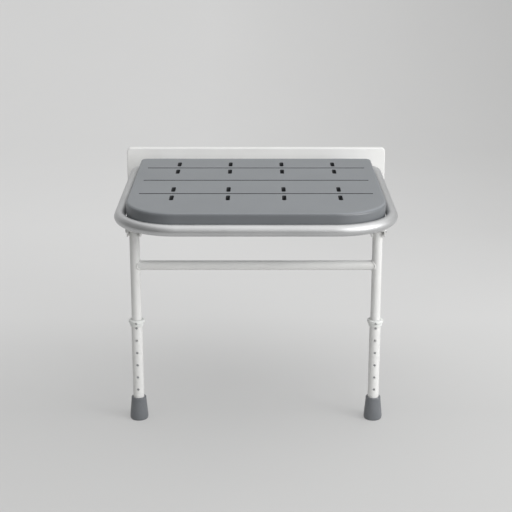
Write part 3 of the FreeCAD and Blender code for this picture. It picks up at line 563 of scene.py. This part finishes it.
def soften(node, radius):
    """A copy of a CAD piece with its edges bevelled by a radius in mm."""
    shape = bmesh.new()
    shape.from_mesh(frame["nodes"][node].data)
    bmesh.ops.remove_doubles(shape, verts=shape.verts, dist=MERGE_WITHIN)
    bmesh.ops.dissolve_limit(shape, angle_limit=FLAT_WITHIN, verts=shape.verts, edges=shape.edges)
    piece = add_piece(f"{node}_finished", shape, slot_of[node], body_of[node], node)
    edges = piece.modifiers.new("soft_edges", "BEVEL")
    edges.width = radius * MM
    edges.segments = 2
    edges.limit_method = "ANGLE"
    edges.angle_limit = EDGE_ABOVE
    edges.use_clamp_overlap = False
    level = piece.modifiers.new("flat_faces", "WEIGHTED_NORMAL")
    level.keep_sharp = True
    level.weight = 100
    return piece


for node, radius in SOFT_EDGES.items():
    softened = soften(node, radius)
    if node == "wall_plate":
        # The plate's brighter copy of the coat is painted light.
        softened.data.materials[0] = FINISHES["plate_painted_light"]
print("softened the edges of", len(SOFT_EDGES), "pieces")

# %% [markdown]
# ## Seat
# The seat is moulded in one shot. Its rim turns over tightly, and more widely round the two front
# corners. Its sides lean in a little towards the underside, because a moulding with upright sides
# would stick in its mould. Both come from one measure: how far a point lies inside the outline.
# Points within the rim move by that measure, and everything further in stays as CAD has it. Faces
# that lie lower than the top, away from the rim, are the grooves and slots, and take a darker
# finish that is painted shade.

# %% Where a point of the seat goes
# All in mm: two radii of the outline, two of the rim, how far the sides lean in, and how far inside
# the rim or the side a point may lie and still belong to it.
SEAT_CORNER_FRONT, SEAT_CORNER_REAR = 100.0, 12.0
RIM_IN_CAD, RIM = 7.0, 4.2
SEAT_DRAFT = 1.0
BESIDE_RIM, BESIDE_SIDE = 0.05, 0.3
seat_low, seat_high = (Vector(corner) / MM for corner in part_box("seat_pad"))


def inside_outline(x, y):
    """How far a point lies inside the seat's outline, and the way out from there."""
    sign = 1 if x > 0 else -1
    corners = ((SEAT_CORNER_FRONT, seat_low.y, -1), (SEAT_CORNER_REAR, seat_high.y, 1))
    for radius, edge, way in corners:
        past = Vector((abs(x) - (seat_high.x - radius), (y - (edge - way * radius)) * way))
        if past.x > 0 and past.y > 0:
            out = past.normalized()
            return radius - past.length, Vector((sign * out.x, way * out.y, 0))
    straights = ((seat_high.x - abs(x), Vector((sign, 0, 0))), (y - seat_low.y, Vector((0, -1, 0))),
                 (seat_high.y - y, Vector((0, 1, 0))))
    return min(straights, key=lambda side: side[0])


def moulded_rim(spot):
    """Where a point of the CAD seat goes on the moulded one, in mm."""
    depth, out = inside_outline(spot.x, spot.y)
    if depth > RIM_IN_CAD + BESIDE_RIM:
        return spot
    # The rim is widest halfway round a front corner.
    rim = RIM + (RIM_IN_CAD - RIM) * max(-2 * abs(out.x) * out.y, 0)
    rise = max(spot.z - (seat_high.z - RIM_IN_CAD), 0) / RIM_IN_CAD
    if rise > 0:
        level = seat_high.z - rim + rise * rim
        return Vector((spot.x, spot.y, level)) + out * depth * (1 - rim / RIM_IN_CAD)
    if depth > BESIDE_SIDE:
        return spot
    drop = (seat_high.z - RIM_IN_CAD - spot.z) / (seat_high.z - RIM_IN_CAD - seat_low.z)
    lift_by = (1 - drop) * (RIM_IN_CAD - rim)
    return spot - out * SEAT_DRAFT * drop + Vector((0, 0, lift_by))


print("the rim turns over in", RIM, "mm, and in", RIM_IN_CAD, "mm round the front corners")

# %% Seat
SEAT_EDGE = 0.35
seat = soften("seat_pad", SEAT_EDGE)
seat.data.materials.append(FINISHES["recess_painted_shade"])
seat.data.materials.append(FINISHES["seat_side"])
for point in seat.data.vertices:
    point.co = moulded_rim(point.co / MM) * MM
print("seat with", len(seat.data.vertices), "points")

# %% Finishes of the seat's faces
IN_RECESS, ON_SIDE = 1, 2
ABOVE_UNDERSIDE, BELOW_TOP = 1, 0.2
PAST_RIM = 10
STEEP_BELOW = 0.6
for face in seat.data.polygons:
    spot = face.center / MM
    if not seat_low.z + ABOVE_UNDERSIDE < spot.z < seat_high.z - BELOW_TOP:
        continue
    # Faces well inside the rim are the grooves and slots: their darker finish is painted shade.
    if inside_outline(spot.x, spot.y)[0] > PAST_RIM:
        face.material_index = IN_RECESS
    # Steep faces by the rim are the sides: their darker copy of the plastic is painted shade.
    elif face.normal.z < STEEP_BELOW:
        face.material_index = ON_SIDE
kinds = [face.material_index for face in seat.data.polygons]
print("seat faces in recesses:", kinds.count(IN_RECESS), "and on the sides:", kinds.count(ON_SIDE))

# %% [markdown]
# ## Screws
# Each screw has a domed head with a hexagon socket, the usual choice where a child or a wet hand
# should not find a slot to catch on. The head is a lathe profile that dips into a six sided ring.
# The last few millimetres of the shank carry rings as a thread, since only those ever show.

# %% Screws
# In mm, but a socket's width is a share of its head's radius, and its floor and top are shares of
# the head's height. A nut's flat is a share of its radius at the corners.
THREAD_PITCH, THREAD_DEEP, THREAD_LONG = 0.8, 0.35, 7
SOCKET_WIDE, SOCKET_FLOOR, SOCKET_TOP = 0.46, 0.4, 0.93
SOCKET_CHAMFER, HEAD_CHAMFER, TIP_CHAMFER = 0.25, 0.15, 0.6
NUT_FLAT, NUT_CHAMFER, BORE_CHAMFER = 0.84, 0.6, 0.4


def screw(shape, place, turn, head, high, shank, length):
    """A socket screw: the head points along the turn, and its flat underside is at the place."""
    socket, floor, top = head * SOCKET_WIDE, high * SOCKET_FLOOR, high * SOCKET_TOP
    rings = [
        (0, floor), (socket, floor, 6), (socket, top, 6),
        *rounded((socket + SOCKET_CHAMFER, high), (head, high), (head, HEAD_CHAMFER), 6),
        (head - HEAD_CHAMFER, 0), (shank, 0)]
    depth = -length + THREAD_LONG
    while depth > -length + 1:
        rings += [(shank, depth), (shank - THREAD_DEEP, depth - THREAD_PITCH / 2)]
        depth -= THREAD_PITCH
    rings += [(shank, TIP_CHAMFER - length), (shank - TIP_CHAMFER, -length), (0, -length)]
    lathe(shape, rings, place, turn)


def nut(shape, place, turn, corners, high, bore):
    """A hexagon nut with turned off corners, its foot at the place."""
    flat, mouth = corners * NUT_FLAT, bore + BORE_CHAMFER
    lathe(shape, [
        (mouth, 0), (flat, 0), (corners, NUT_CHAMFER, 6), (corners, high - NUT_CHAMFER, 6),
        (flat, high), (mouth, high), (bore, high - BORE_CHAMFER), (bore, BORE_CHAMFER)],
        place, turn, closed=True)


HEAD_M5, HEAD_M5_HIGH, SHANK_M5 = 4.6, 3.2, 2.4
print("socket of an M5 head:", round(2 * HEAD_M5 * SOCKET_WIDE, 2), "mm across its corners")

# %% Seat screws
low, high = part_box("seat_screws")
columns = (low[0] + HEAD_M5 * MM, 0, high[0] - HEAD_M5 * MM)
shape = bmesh.new()
for rail in ("front_rail", "middle_rail", "rear_rail"):
    for column in columns:
        place = (column, middle(rail).y, low[2] + HEAD_M5_HIGH * MM)
        screw(shape, place, FACING_DOWN, HEAD_M5, HEAD_M5_HIGH, SHANK_M5,
              (high[2] - low[2]) / MM - HEAD_M5_HIGH)
add_piece("seat_screws_turned", shape, "screw_steel", "seat", "seat_screws")
print("seat screws at X", [round(column, 3) for column in columns])

# %% Hinge screws and nuts
HINGE_SCREW_SPREAD = 11
low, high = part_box("hinge_cap_screws")
nut_low, nut_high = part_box("hinge_cap_nuts")
screws, nuts = bmesh.new(), bmesh.new()
for block in ("hinge_cap_left", "hinge_cap_right"):
    for end in (-1, 1):
        across = middle(block).x + end * HINGE_SCREW_SPREAD * MM
        height = middle("hinge_cap_screws").z
        screw(screws, (across, low[1] + HEAD_M5_HIGH * MM, height), FACING_FRONT, HEAD_M5,
              HEAD_M5_HIGH, SHANK_M5, (high[1] - low[1]) / MM - HEAD_M5_HIGH)
        nut(nuts, (across, nut_low[1], height), FACING_WALL, HEAD_M5,
            (nut_high[1] - nut_low[1]) / MM, SHANK_M5)
add_piece("hinge_screws_turned", screws, "screw_steel", "wall_bracket", "hinge_cap_screws")
add_piece("hinge_nuts_turned", nuts, "screw_steel", "wall_bracket", "hinge_cap_nuts")
print("hinge screws and nuts: 4 each")

# %% Pivot bolts and nuts
PIVOT_HEAD, PIVOT_HEAD_HIGH, PIVOT_SHANK = 5, 3.5, 3
PIVOT_NUT, PIVOT_NUT_HIGH, PAST_NUT = 5.6, 5, 1
nuts = bmesh.new()
for side, sign in SIDES.items():
    outward = Matrix.Rotation(sign * math.pi / 2, 3, "Y")
    inward = Matrix.Rotation(-sign * math.pi / 2, 3, "Y")
    low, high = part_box(f"pivot_bolt_{side}")
    spot = middle(f"pivot_bolt_{side}")
    head_end = high[0] if sign > 0 else low[0]
    under_head = (head_end - sign * PIVOT_HEAD_HIGH * MM, spot.y, spot.z)
    shape = bmesh.new()
    screw(shape, under_head, outward, PIVOT_HEAD, PIVOT_HEAD_HIGH, PIVOT_SHANK,
          (high[0] - low[0]) / MM - PIVOT_HEAD_HIGH)
    add_piece(f"pivot_bolt_{side}_turned", shape, "screw_steel", body_of[f"pivot_bolt_{side}"],
              f"pivot_bolt_{side}")
    far_end = low[0] if sign > 0 else high[0]
    foot = (far_end + sign * (PIVOT_NUT_HIGH + PAST_NUT) * MM, spot.y, spot.z)
    nut(nuts, foot, inward, PIVOT_NUT, PIVOT_NUT_HIGH, PIVOT_SHANK)
add_piece("pivot_nuts_turned", nuts, "screw_steel", body_of["pivot_nuts"], "pivot_nuts")
print("pivot bolts at height", round(spot.z, 4))

# %% [markdown]
# ## Collars
# The collar guides the inner tube and hides the raw end of the outer one. It is moulded, so its rim
# rounds over, and a small boss carries the set screw. Both are lathe profiles, one upright and one
# facing the front.

# %% Collars
# Radii and heights in mm. The height counts from the end of the outer tube.
COLLAR_LIP = 2.2
COLLAR_SKIRT, COLLAR_WIDE, OUTER_TUBE, INNER_TUBE, TUBE_END = 13.05, 15.4, 10.75, 9.85, 0.02
COLLAR_RINGS = [
    (OUTER_TUBE, -10), *rounded((12.3, -10), (COLLAR_SKIRT, -10), (COLLAR_SKIRT, -8), 3),
    *rounded((COLLAR_SKIRT + 0.25, -5), (COLLAR_SKIRT + 0.35, -4), (14.2, -3.95), 3),
    *rounded((14.5, -3.8), (COLLAR_WIDE, -3.4), (COLLAR_WIDE, -2.6), 3),
    *rounded((COLLAR_WIDE, 0.8), (COLLAR_WIDE, COLLAR_LIP), (13.6, COLLAR_LIP), 4),
    *rounded((10.4, COLLAR_LIP), (INNER_TUBE, COLLAR_LIP), (INNER_TUBE, 1.7), 3),
    (INNER_TUBE, TUBE_END), (OUTER_TUBE, TUBE_END)]
BOSS_RINGS = [(0, 0.05), *rounded((2.7, 0.05), (3.4, 0.05), (3.4, -1.2)), (3.5, -3.6), (0, -3.6)]
SET_SCREW_HEAD, SET_SCREW_HIGH, SET_SCREW_SHANK = 2.4, 1.3, 1.3
for side in SIDES:
    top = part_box(f"collar_{side}")[1][2] - COLLAR_LIP * MM
    spot = middle(f"collar_{side}")
    low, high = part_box(f"collar_screw_{side}")
    under_head = (spot.x, low[1] + SET_SCREW_HIGH * MM, middle(f"collar_screw_{side}").z)
    shape = bmesh.new()
    lathe(shape, COLLAR_RINGS, (spot.x, spot.y, top), closed=True, steps=64)
    lathe(shape, BOSS_RINGS, under_head, FACING_FRONT)
    add_piece(f"collar_{side}_moulded", shape, "collar_plastic", body_of[f"collar_{side}"],
              f"collar_{side}")
    shape = bmesh.new()
    screw(shape, under_head, FACING_FRONT, SET_SCREW_HEAD, SET_SCREW_HIGH, SET_SCREW_SHANK,
          (high[1] - low[1]) / MM - SET_SCREW_HIGH)
    add_piece(f"collar_screw_{side}_turned", shape, "screw_steel", body_of[f"collar_{side}"],
              f"collar_screw_{side}")
print("collar top at", round(top, 4))

# %% [markdown]
# ## Rubber feet
# A ferrule is pressed on the tube and flares to a wide, rounded sole with rings for grip. Rubber has
# no crisp line anywhere, so the profile is a curve round the sole, up the flank and over the neck.

# %% Rubber feet
low, high = (corner / MM for corner in map(Vector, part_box("rubber_foot_left")))
FOOT_WIDE, FOOT_TALL = (high.x - low.x) / 2, high.z - low.z
FOOT_NECK, FOOT_BORE_FLOOR = 14.5, 8.1
GROOVES, GROOVE_WIDE, GROOVE_DEEP, GROOVE_SLOPE = (3.8, 8.8, 12.8), 1.8, 1.5, 0.3
foot_rings = [(0, 0)]
for inner in GROOVES:
    outer = inner + GROOVE_WIDE
    foot_rings += [(inner, 0), (inner + GROOVE_SLOPE, GROOVE_DEEP),
                   (outer - GROOVE_SLOPE, GROOVE_DEEP), (outer, 0)]
foot_rings += rounded((15.6, 0), (FOOT_WIDE, 0), (FOOT_WIDE, 6), 6)
foot_rings += rounded((FOOT_WIDE - 0.1, 9), (FOOT_WIDE - 0.8, 16), (FOOT_NECK, 42), 8)
foot_rings += rounded((FOOT_NECK, FOOT_TALL - 2), (FOOT_NECK, FOOT_TALL), (12.6, FOOT_TALL))
foot_rings += rounded((12, FOOT_TALL), (OUTER_TUBE, FOOT_TALL), (OUTER_TUBE, FOOT_TALL - 1.6))
foot_rings += [(OUTER_TUBE, FOOT_BORE_FLOOR), (0, FOOT_BORE_FLOOR)]
for side in SIDES:
    spot = middle(f"rubber_foot_{side}")
    shape = bmesh.new()
    lathe(shape, foot_rings, (spot.x, spot.y, 0), steps=64)
    add_piece(f"rubber_foot_{side}_moulded", shape, "foot_rubber", body_of[f"rubber_foot_{side}"],
              f"rubber_foot_{side}")
print("rubber feet with", len(foot_rings), "rings each")

# %% [markdown]
# ## Leg caps
# A snap-in plastic cap closes the top of each leg. It has a low dome and a plug below.

# %% Leg caps
CAP_PLUG = 2.5
CAP_INSIDE, CAP_WIDE = 7.95, 9.5
CAP_RINGS = [
    (0, -CAP_PLUG), (7.6, -CAP_PLUG), (CAP_INSIDE, 0.4 - CAP_PLUG), (CAP_INSIDE, 0), (9.3, 0),
    (CAP_WIDE, 0.2), *rounded((CAP_WIDE, 0.5), (9.3, 1.5), (6.0, 1.56), 5), (0, 1.6)]
for side in SIDES:
    spot = middle(f"leg_cap_{side}")
    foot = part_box(f"leg_cap_{side}")[0][2] + CAP_PLUG * MM
    shape = bmesh.new()
    lathe(shape, CAP_RINGS, (spot.x, spot.y, foot))
    add_piece(f"leg_cap_{side}_moulded", shape, "cap_plastic", body_of[f"leg_cap_{side}"],
              f"leg_cap_{side}")
print("leg caps from height", round(foot, 4))

# %% [markdown]
# ## Weld beads
# The cross bar, the rails and the brackets are welded on, and a weld is a rippled bead, not a
# perfect seam. Each bead is a thin tube that follows the line where two pieces meet. Its radius
# swells and shrinks a little every one and a half millimetres, as the weld pool does.

# %% Weld beads
BEAD_PITCH = 1.5
BEAD_SIDES = 10
BEAD_SWELL = 0.1
BEAD_TAPER = 0.3
OFF_AXIS = Vector((0.31, 0.47, 0.82))


def bead(shape, points, radius, closed=False):
    """A rippled tube through the points."""
    rows = []
    run = 0
    count = len(points)
    for number, point in enumerate(points):
        before = points[number - 1] if closed or number else point
        after = points[(number + 1) % count] if closed or number < count - 1 else point
        along = (after - before).normalized()
        run += (point - before).length / MM
        side = along.cross(OFF_AXIS).normalized()
        up = along.cross(side)
        swell = radius * (1 + BEAD_SWELL * math.cos(2 * math.pi * run / BEAD_PITCH)) * MM
        if not closed and number in (0, count - 1):
            swell *= BEAD_TAPER
        row = []
        for step in range(BEAD_SIDES):
            angle = 2 * math.pi * step / BEAD_SIDES
            reach = math.cos(angle) * side + math.sin(angle) * up
            row.append(shape.verts.new(point + swell * reach))
        rows.append(row)
    for first, second in zip(rows, rows[1:] + rows[:1] if closed else rows[1:]):
        for step in range(BEAD_SIDES):
            following = (step + 1) % BEAD_SIDES
            shape.faces.new((first[step], first[following], second[following], second[step]))
    if not closed:
        shape.faces.new(rows[0])
        shape.faces.new(rows[-1])


print("a bead swells every", BEAD_PITCH, "mm")

# %% Beads where the cross bar meets the legs
BAR_RADIUS = 9.0
LEG_RADIUS = 9.5
BAR_BEAD = 1.3
ABOVE_BAR, ABOVE_LEG = 0.3, 0.4
BAR_BEAD_STEPS = 180
shape = bmesh.new()
bar = middle("cross_bar")
for side, sign in SIDES.items():
    leg = middle(f"upper_leg_{side}").x
    points = []
    for step in range(BAR_BEAD_STEPS):
        angle = 2 * math.pi * step / BAR_BEAD_STEPS
        around = BAR_RADIUS + ABOVE_BAR
        inset = math.sqrt(LEG_RADIUS ** 2 - (BAR_RADIUS * math.cos(angle)) ** 2) + ABOVE_LEG
        points.append(Vector((leg - sign * inset * MM, bar.y + around * math.cos(angle) * MM,
                              bar.z + around * math.sin(angle) * MM)))
    bead(shape, points, BAR_BEAD, closed=True)
add_piece("cross_bar_welds", shape, "white_coat", "legs")
print("cross bar beads at X", round(leg, 4))

# %% Beads under the rails
TUBE_RADIUS = 11.0
FRONT_BEND = 112.0
REAR_BEND = 36.0
RAIL_BEAD = 1.5
RAIL_BEAD_STEPS = 120
RAIL_BEAD_SHORT = 3
OFF_SEAM = 0.3
low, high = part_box("seat_frame")
FRAME_HALF = high[0] / MM - TUBE_RADIUS
FRONT_LINE = low[1] / MM + TUBE_RADIUS
REAR_LINE = high[1] / MM - TUBE_RADIUS
TUBE_HEIGHT = middle("seat_frame").z / MM


def tube_edge(along, inset):
    """Half the distance between the side tubes at a place along Y, moved inward by the inset."""
    past = max(FRONT_LINE + FRONT_BEND - along, 0)
    bend = FRONT_BEND
    if along > REAR_LINE - REAR_BEND:
        past, bend = along - (REAR_LINE - REAR_BEND), REAR_BEND
    return FRAME_HALF - bend + math.sqrt((bend - inset) ** 2 - past ** 2)


shape = bmesh.new()
for rail in ("front_rail", "middle_rail", "rear_rail"):
    low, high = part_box(rail)
    under = TUBE_HEIGHT - low[2] / MM
    inset = math.sqrt(TUBE_RADIUS ** 2 - under ** 2) + OFF_SEAM
    start, stop = low[1] / MM + RAIL_BEAD_SHORT, high[1] / MM - RAIL_BEAD_SHORT
    for sign in SIDES.values():
        points = []
        for step in range(RAIL_BEAD_STEPS):
            along = start + (stop - start) * step / (RAIL_BEAD_STEPS - 1)
            across = sign * tube_edge(along, inset)
            points.append(Vector((across, along, low[2] / MM - OFF_SEAM)) * MM)
        bead(shape, points, RAIL_BEAD)
add_piece("rail_welds", shape, "tube_metal", "seat")
print("six rail beads")

# %% Beads along the leg brackets
BRACKET_BEAD = 1.3
BRACKET_BEAD_STEPS = 100
BEAD_STARTS, BEAD_SHARE = 0.08, 0.84
BELOW_RAIL = 0.2
shape = bmesh.new()
for side in SIDES:
    low, high = (Vector(corner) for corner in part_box(f"leg_bracket_{side}"))
    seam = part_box("front_rail")[0][2] - BELOW_RAIL * MM
    for across in (low.x - OFF_SEAM * MM, high.x + OFF_SEAM * MM):
        points = []
        for step in range(BRACKET_BEAD_STEPS):
            share = BEAD_STARTS + BEAD_SHARE * step / (BRACKET_BEAD_STEPS - 1)
            points.append(Vector((across, low.y + (high.y - low.y) * share, seam)))
        bead(shape, points, BRACKET_BEAD)
add_piece("bracket_welds", shape, "white_coat", body_of["leg_bracket_left"])
print("four bracket beads")

# %% [markdown]
# ## Snap springs
# Inside each leg a bent spring strip pushes the button out. When a thumb presses the button, the
# front leaf bends back and the rear one stays on the tube wall. So the spring is two strips: the
# rear one rides on the leg, and the front one is taken off its body again, with its place baked
# into its points.

# %% A bowed leaf
LEAF_WIDTH = 6.0
LEAF_THICK = 0.5
LEAF_LENGTH = 34.0
LEAF_OVERLAP = 6.0
LEAF_BOW = 1.2
LEAF_STEPS = 16


def strip(shape, start, end, bow):
    """A flat strip between two points, bowed along Y, all in mm."""
    rows = []
    for step in range(LEAF_STEPS + 1):
        share = step / LEAF_STEPS
        spot = start.lerp(end, share) + Vector((0, bow * math.sin(math.pi * share), 0))
        rows.append([shape.verts.new((spot + Vector((x, y, 0))) * MM) for x, y in (
            (-LEAF_WIDTH / 2, 0), (LEAF_WIDTH / 2, 0), (LEAF_WIDTH / 2, LEAF_THICK),
            (-LEAF_WIDTH / 2, LEAF_THICK))])
    for first, second in zip(rows, rows[1:]):
        for step in range(4):
            following = (step + 1) % 4
            shape.faces.new((first[step], first[following], second[following], second[step]))
    shape.faces.new(rows[0])
    shape.faces.new(rows[-1])


print("a leaf is", LEAF_WIDTH, "mm wide and", LEAF_THICK, "mm thick")

# %% Snap springs
REAR_LEAF_FROM_AXIS = 6.6

for side in SIDES:
    low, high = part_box(f"snap_button_{side}")
    leg = middle(f"upper_leg_{side}") / MM
    level = middle(f"snap_button_{side}").z / MM
    back = high[1] / MM
    bend = Vector((leg.x, leg.y - LEAF_THICK / 2, level - LEAF_LENGTH))
    shape = bmesh.new()
    strip(shape, bend, Vector((leg.x, back, level + LEAF_OVERLAP)), -LEAF_BOW)
    front = add_piece(f"snap_spring_{side}_front", shape, "spring_steel", "legs",
                      f"snap_spring_{side}")
    front.parent = None
    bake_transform(front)
    shape = bmesh.new()
    rear_end = Vector((leg.x, leg.y + REAR_LEAF_FROM_AXIS, level + LEAF_OVERLAP))
    strip(shape, bend, rear_end, LEAF_BOW)
    add_piece(f"snap_spring_{side}_rear", shape, "spring_steel", "legs")
print("snap springs: two leaves each")

# %% [markdown]
# ## Floor
# A plain pale sweep: flat under the seat and curved up far behind it, so that there is no horizon.

# %% Floor
FLOOR_HALF = 12.0
FLOOR_FRONT = 6.0
SWEEP_START = 2.2
SWEEP_RADIUS = 2.0
SWEEP_STEPS = 24
SWEEP_TOP = 5.0


def sweep():
    """A floor strip that bends up into a backdrop."""
    line = [(-FLOOR_FRONT, 0.0), (SWEEP_START, 0.0)]
    for step in range(1, SWEEP_STEPS + 1):
        angle = math.pi / 2 * step / SWEEP_STEPS
        along = SWEEP_START + SWEEP_RADIUS * math.sin(angle)
        line.append((along, SWEEP_RADIUS * (1 - math.cos(angle))))
    line.append((SWEEP_START + SWEEP_RADIUS, SWEEP_TOP))
    points = [(side * FLOOR_HALF, along, up) for along, up in line for side in (-1, 1)]
    faces = [(2 * n, 2 * n + 1, 2 * n + 3, 2 * n + 2) for n in range(len(line) - 1)]
    mesh = bpy.data.meshes.new("studio_sweep")
    mesh.from_pydata(points, [], faces)
    made = bpy.data.objects.new("studio_sweep", mesh)
    bpy.context.scene.collection.objects.link(made)
    mesh.shade_smooth()
    return made


floor = sweep()
print("floor strip with", len(floor.data.polygons), "faces")

# %% [markdown]
# ### Studio paper
# The paper is lit by the lamps like any surface. To the camera, and in mirrors, it also glows a
# little and more so far behind, because the photograph's backdrop has lamps of its own. The seat's
# shadow stays, since it lies in the part that the lamps light. A few helpers keep its node tree
# readable.

# %% Steps that only the paper needs
def combine(tree, operation, first, second):
    """Combine two values with one operation."""
    combined = tree.nodes.new("ShaderNodeMath")
    combined.operation = operation
    tree.links.new(first, combined.inputs[0])
    tree.links.new(second, combined.inputs[1])
    return combined.outputs["Value"]


def fade(tree, share, first, second):
    """Go from a plain number to a value by a share."""
    mix = tree.nodes.new("ShaderNodeMix")
    mix.inputs["A"].default_value = first
    tree.links.new(share, mix.inputs["Factor"])
    tree.links.new(second, mix.inputs["B"])
    return mix.outputs["Result"]


def choose(tree, share, first, second):
    """Blend two shaders by a share."""
    mix = tree.nodes.new("ShaderNodeMixShader")
    tree.links.new(share, mix.inputs["Fac"])
    tree.links.new(first, mix.inputs[1])
    tree.links.new(second, mix.inputs[2])
    return mix.outputs["Shader"]


print("paper steps: combine, fade and choose")

# %% [markdown]
# The left front corner of the seat and the middle of the front tube face something dark, so the
# studio must be dark to the front and left, outside the picture. There the paper is dark to
# everything but the camera.

# %% The dark side of the studio
DARK_SIDE = 0.08
DARK_WAY = (-0.5, -0.87, 0)
DARK_FROM, DARK_FULL = 0.8, 1.5
BLACK = (0.0, 0.0, 0.0, 1)


def light_share(tree, position, camera_ray):
    """One where the paper shows its full tone, and little on the dark side."""
    toward = tree.nodes.new("ShaderNodeVectorMath")
    toward.operation = "DOT_PRODUCT"
    toward.inputs[1].default_value = DARK_WAY
    tree.links.new(position, toward.inputs[0])
    dark = spread(tree, toward.outputs["Value"], 1, DARK_SIDE, start=DARK_FROM, stop=DARK_FULL)
    return combine(tree, "MAXIMUM", camera_ray, dark)


def darken(tree, tone, share):
    """Let a tone go to black as the share goes to nothing."""
    mix = tree.nodes.new("ShaderNodeMix")
    mix.data_type = "RGBA"
    mix.inputs["A"].default_value = BLACK
    tree.links.new(share, mix.inputs["Factor"])
    tree.links.new(tone, mix.inputs["B"])
    return mix.outputs["Result"]


print("the studio goes dark between", DARK_FROM, "and", DARK_FULL, "metres to the front and left")

# %% [markdown]
# The backdrop is brighter than the floor by the seat, and its left half is brighter than its right.
# One ramp along the floor and one across it, which fades in behind the seat, give that slope.

# %% The glow of the paper
GLOW_NEAR, GLOW_FAR = 0.56, 0.735
GLOW_LEFT, GLOW_RIGHT = 1.10, 0.70


def glow_level(tree, across, along):
    """How strongly the paper glows at a place."""
    level = spread(tree, along, GLOW_NEAR, GLOW_FAR, start=-0.15, stop=0.4)
    slope = spread(tree, across, GLOW_LEFT, GLOW_RIGHT, start=-0.2, stop=1.5)
    behind = spread(tree, along, 0, 1, start=0.2, stop=1.2)
    return combine(tree, "MULTIPLY", level, fade(tree, behind, 1.0, slope))


print("glow from", GLOW_NEAR, "by the seat to", GLOW_FAR, "behind it")

# %% Studio paper
PAPER_GLOW = 0.55


def studio_paper():
    made, tree, shader = new_finish("studio_paper", (0.66, 0.66, 0.65), 0.9)
    place = tree.nodes.new("ShaderNodeNewGeometry").outputs["Position"]
    apart = tree.nodes.new("ShaderNodeSeparateXYZ")
    tree.links.new(place, apart.inputs["Vector"])
    path = tree.nodes.new("ShaderNodeLightPath")
    share = light_share(tree, place, path.outputs["Is Camera Ray"])
    grain = add_noise(tree, scale=3, detail=3)
    tone = tint(tree, spread(tree, grain, 0, 1), (0.652, 0.652, 0.645), (0.668, 0.668, 0.66))
    tree.links.new(darken(tree, tone, share), shader.inputs["Base Color"])
    level = glow_level(tree, apart.outputs["X"], apart.outputs["Y"])
    glow = tree.nodes.new("ShaderNodeEmission")
    tree.links.new(combine(tree, "MULTIPLY", level, share), glow.inputs["Strength"])
    lit = tree.nodes.new("ShaderNodeMixShader")
    lit.inputs["Fac"].default_value = PAPER_GLOW
    tree.links.new(shader.outputs["BSDF"], lit.inputs[1])
    tree.links.new(glow.outputs["Emission"], lit.inputs[2])
    seen = path.outputs["Is Camera Ray"]
    for name in ("Is Glossy Ray", "Is Transmission Ray"):
        seen = combine(tree, "MAXIMUM", seen, path.outputs[name])
    surface = choose(tree, seen, shader.outputs["BSDF"], lit.outputs["Shader"])
    tree.links.new(surface, tree.nodes["Material Output"].inputs["Surface"])
    return made


floor.data.materials.append(studio_paper())
floor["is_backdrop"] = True
print("the floor wears", floor.data.materials[0].name)

# %% [markdown]
# ## Finish
# The dressed model has to stay as large as the CAD model, so the dressed model's box is printed.

# %% Finish
visual_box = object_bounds()
corners = [[round(number, 3) for number in corner] for corner in visual_box]
print("the visual box, in metres:", *corners)
